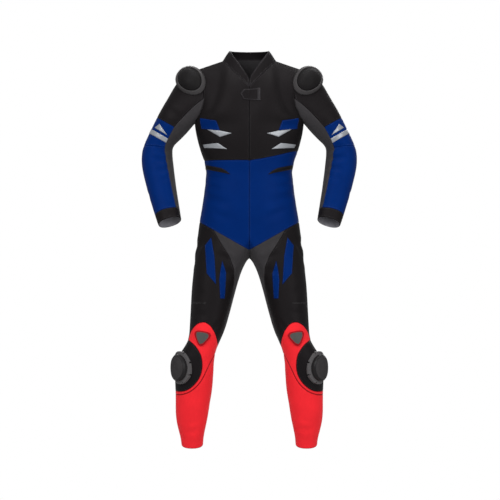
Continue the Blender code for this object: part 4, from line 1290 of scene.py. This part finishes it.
def mark_top(piece, node):
    """Gives the top of a hard piece, inside its chamfer, the second finish."""
    out = seat_axes(node)[3]
    shape = bmesh.new()
    shape.from_mesh(piece.data)
    bmesh.ops.remove_doubles(shape, verts=shape.verts, dist=MERGE)
    shape.normal_update()
    wall = {face for face in shape.faces if abs(np.dot(face.normal, out)) < WALL_TILT}
    rim = {vert for face in wall for vert in face.verts}
    for face in shape.faces:
        if np.dot(face.normal, out) > WALL_TILT and not rim.intersection(face.verts):
            face.material_index = 1
    shape.to_mesh(piece.data)
    shape.free()


class SUIT_OT_knees(bpy.types.Operator):
    """Adds the knee sliders on their notched backings, and the badges above them"""

    bl_idname = "race_suit.knees"
    bl_label = "Knee sliders"

    def execute(self, context):
        for side, _ in SIDES:
            backing, slider, badge = f"{side}_slider_backing", f"{side}_knee_slider", f"{side}_knee_badge"
            base = refined_copy(backing, "base", bevel=0.5 * MM, levels=1)
            puck = refined_copy(slider, "puck", bevel=1.6 * MM, levels=2, angle=SLIDER_EDGE, mark=mark_top)
            plate = refined_copy(badge, "plate", bevel=0.5 * MM, levels=2, mark=mark_top)
            own(base, backing, "backing")
            own(puck, slider, "slider_side", "slider_face")
            own(plate, badge, "red_edge", "badge")
        return {"FINISHED"}


# ---- stage

VIEW_HEIGHT = 1.8  # of the picture, at the suit
CAMERA_PLACE = (0.0025, -9.0, -0.677)
FLOOR = -1.50
FLOOR_SIZE = 60.0
SENSOR = 36.0
ROOM_LIGHT = 0.45  # brightness of the room that the suit is lit by
Lamp = namedtuple("Lamp", "name place size power")
LAMPS = (
    Lamp("key", (-2.4, -4.2, 1.6), 2.6, 132),
    Lamp("fill", (2.8, -4.0, 0.2), 2.6, 94),
    Lamp("top", (0.3, -0.4, 2.6), 2.2, 52),
    Lamp("back", (0.5, 3.6, 1.4), 2.6, 110),
)
AIM = Vector((0, 0, -0.65))


class SUIT_OT_stage(bpy.types.Operator):
    """Adds the floor, the lights and the camera"""

    bl_idname = "race_suit.stage"
    bl_label = "Stage"

    def execute(self, context):
        scene = context.scene
        scene.view_settings.view_transform = "Standard"
        bpy.ops.object.select_all(action="DESELECT")
        bpy.ops.mesh.primitive_plane_add(size=FLOOR_SIZE, location=(0, 0, FLOOR))
        floor = context.active_object
        floor.name = "floor"
        floor.data.materials.append(white_paper())
        scene.world = studio_room()
        for lamp in LAMPS:
            light = bpy.data.lights.new(lamp.name, "AREA")
            light.size = lamp.size
            light.energy = lamp.power
            holder = new_object(lamp.name, light)
            holder.location = lamp.place
            holder.rotation_euler = (AIM - Vector(lamp.place)).to_track_quat("-Z", "Y").to_euler()
        camera = bpy.data.cameras.new("camera")
        camera.sensor_width = SENSOR
        camera.lens = SENSOR * abs(CAMERA_PLACE[1]) / VIEW_HEIGHT
        camera.clip_end = 2 * FLOOR_SIZE
        holder = new_object("camera", camera)
        holder.location = CAMERA_PLACE
        holder.rotation_euler = (math.pi / 2, 0, 0)
        scene.camera = holder
        return {"FINISHED"}


def split_by_ray(tree, seen, unseen):
    """Mixes one shader for what the camera sees with another for the light that the suit gets."""
    ray = add_node(tree, "LightPath")["Is Camera Ray"]
    return add_node(tree, "MixShader", {0: ray, 1: unseen, 2: seen})[0]


def white_paper():
    """White background paper. It shows as plain white, and throws back less light than it shows."""
    material, tree, shader, _ = new_material("white_paper", Roughness=0.95, IOR=1.5)
    shader.inputs["Base Color"].default_value = (*linear("#b8b8b8"), 1)
    white = add_node(tree, "Emission", {"Color": (1, 1, 1, 1), "Strength": 1.0})[0]
    surface = split_by_ray(tree, white, shader.outputs[0])
    tree.links.new(surface, tree.nodes["Material Output"].inputs["Surface"])
    return material


def studio_room():
    """A white room round the suit. It lights the suit more softly than it shows."""
    world = bpy.data.worlds.new("studio_room")
    world.use_nodes = True
    tree = world.node_tree
    dim = tree.nodes["Background"]
    dim.inputs["Color"].default_value = (1, 1, 1, 1)
    dim.inputs["Strength"].default_value = ROOM_LIGHT
    bright = add_node(tree, "Background", {"Color": (1, 1, 1, 1), "Strength": 1.0})
    surface = split_by_ray(tree, bright[0], dim.outputs[0])
    tree.links.new(surface, tree.nodes["World Output"].inputs["Surface"])
    return world


# ---- the add-on

OPERATORS = (
    SUIT_OT_stage,
    SUIT_OT_panels,
    SUIT_OT_flashes,
    SUIT_OT_zip,
    SUIT_OT_neck_tab,
    SUIT_OT_shoulders,
    SUIT_OT_knees,
    SUIT_OT_sewing,
)


class SUIT_PT_panel(bpy.types.Panel):
    """The suit's settings and steps, in the sidebar"""

    bl_idname = "SUIT_PT_panel"
    bl_label = "Race suit"
    bl_space_type = "VIEW_3D"
    bl_region_type = "UI"
    bl_category = "Race suit"

    def draw(self, context):
        for group in (context.scene.suit_colours, context.scene.suit_sizes):
            for name in group.bl_rna.properties.keys():
                if name not in ("rna_type", "name"):
                    self.layout.prop(group, name)
        for operator in OPERATORS:
            self.layout.operator(operator.bl_idname)


CLASSES = (SuitColours, SuitSizes, *OPERATORS, SUIT_PT_panel)


def register():
    for kind in CLASSES:
        bpy.utils.register_class(kind)
    bpy.types.Scene.suit_colours = bpy.props.PointerProperty(type=SuitColours)
    bpy.types.Scene.suit_sizes = bpy.props.PointerProperty(type=SuitSizes)


def unregister():
    del bpy.types.Scene.suit_sizes
    del bpy.types.Scene.suit_colours
    for kind in reversed(CLASSES):
        bpy.utils.unregister_class(kind)


def main():
    register()
    for operator in OPERATORS:
        group, name = operator.bl_idname.split(".")
        getattr(getattr(bpy.ops, group), name)()


if __name__ == "__main__":
    main()
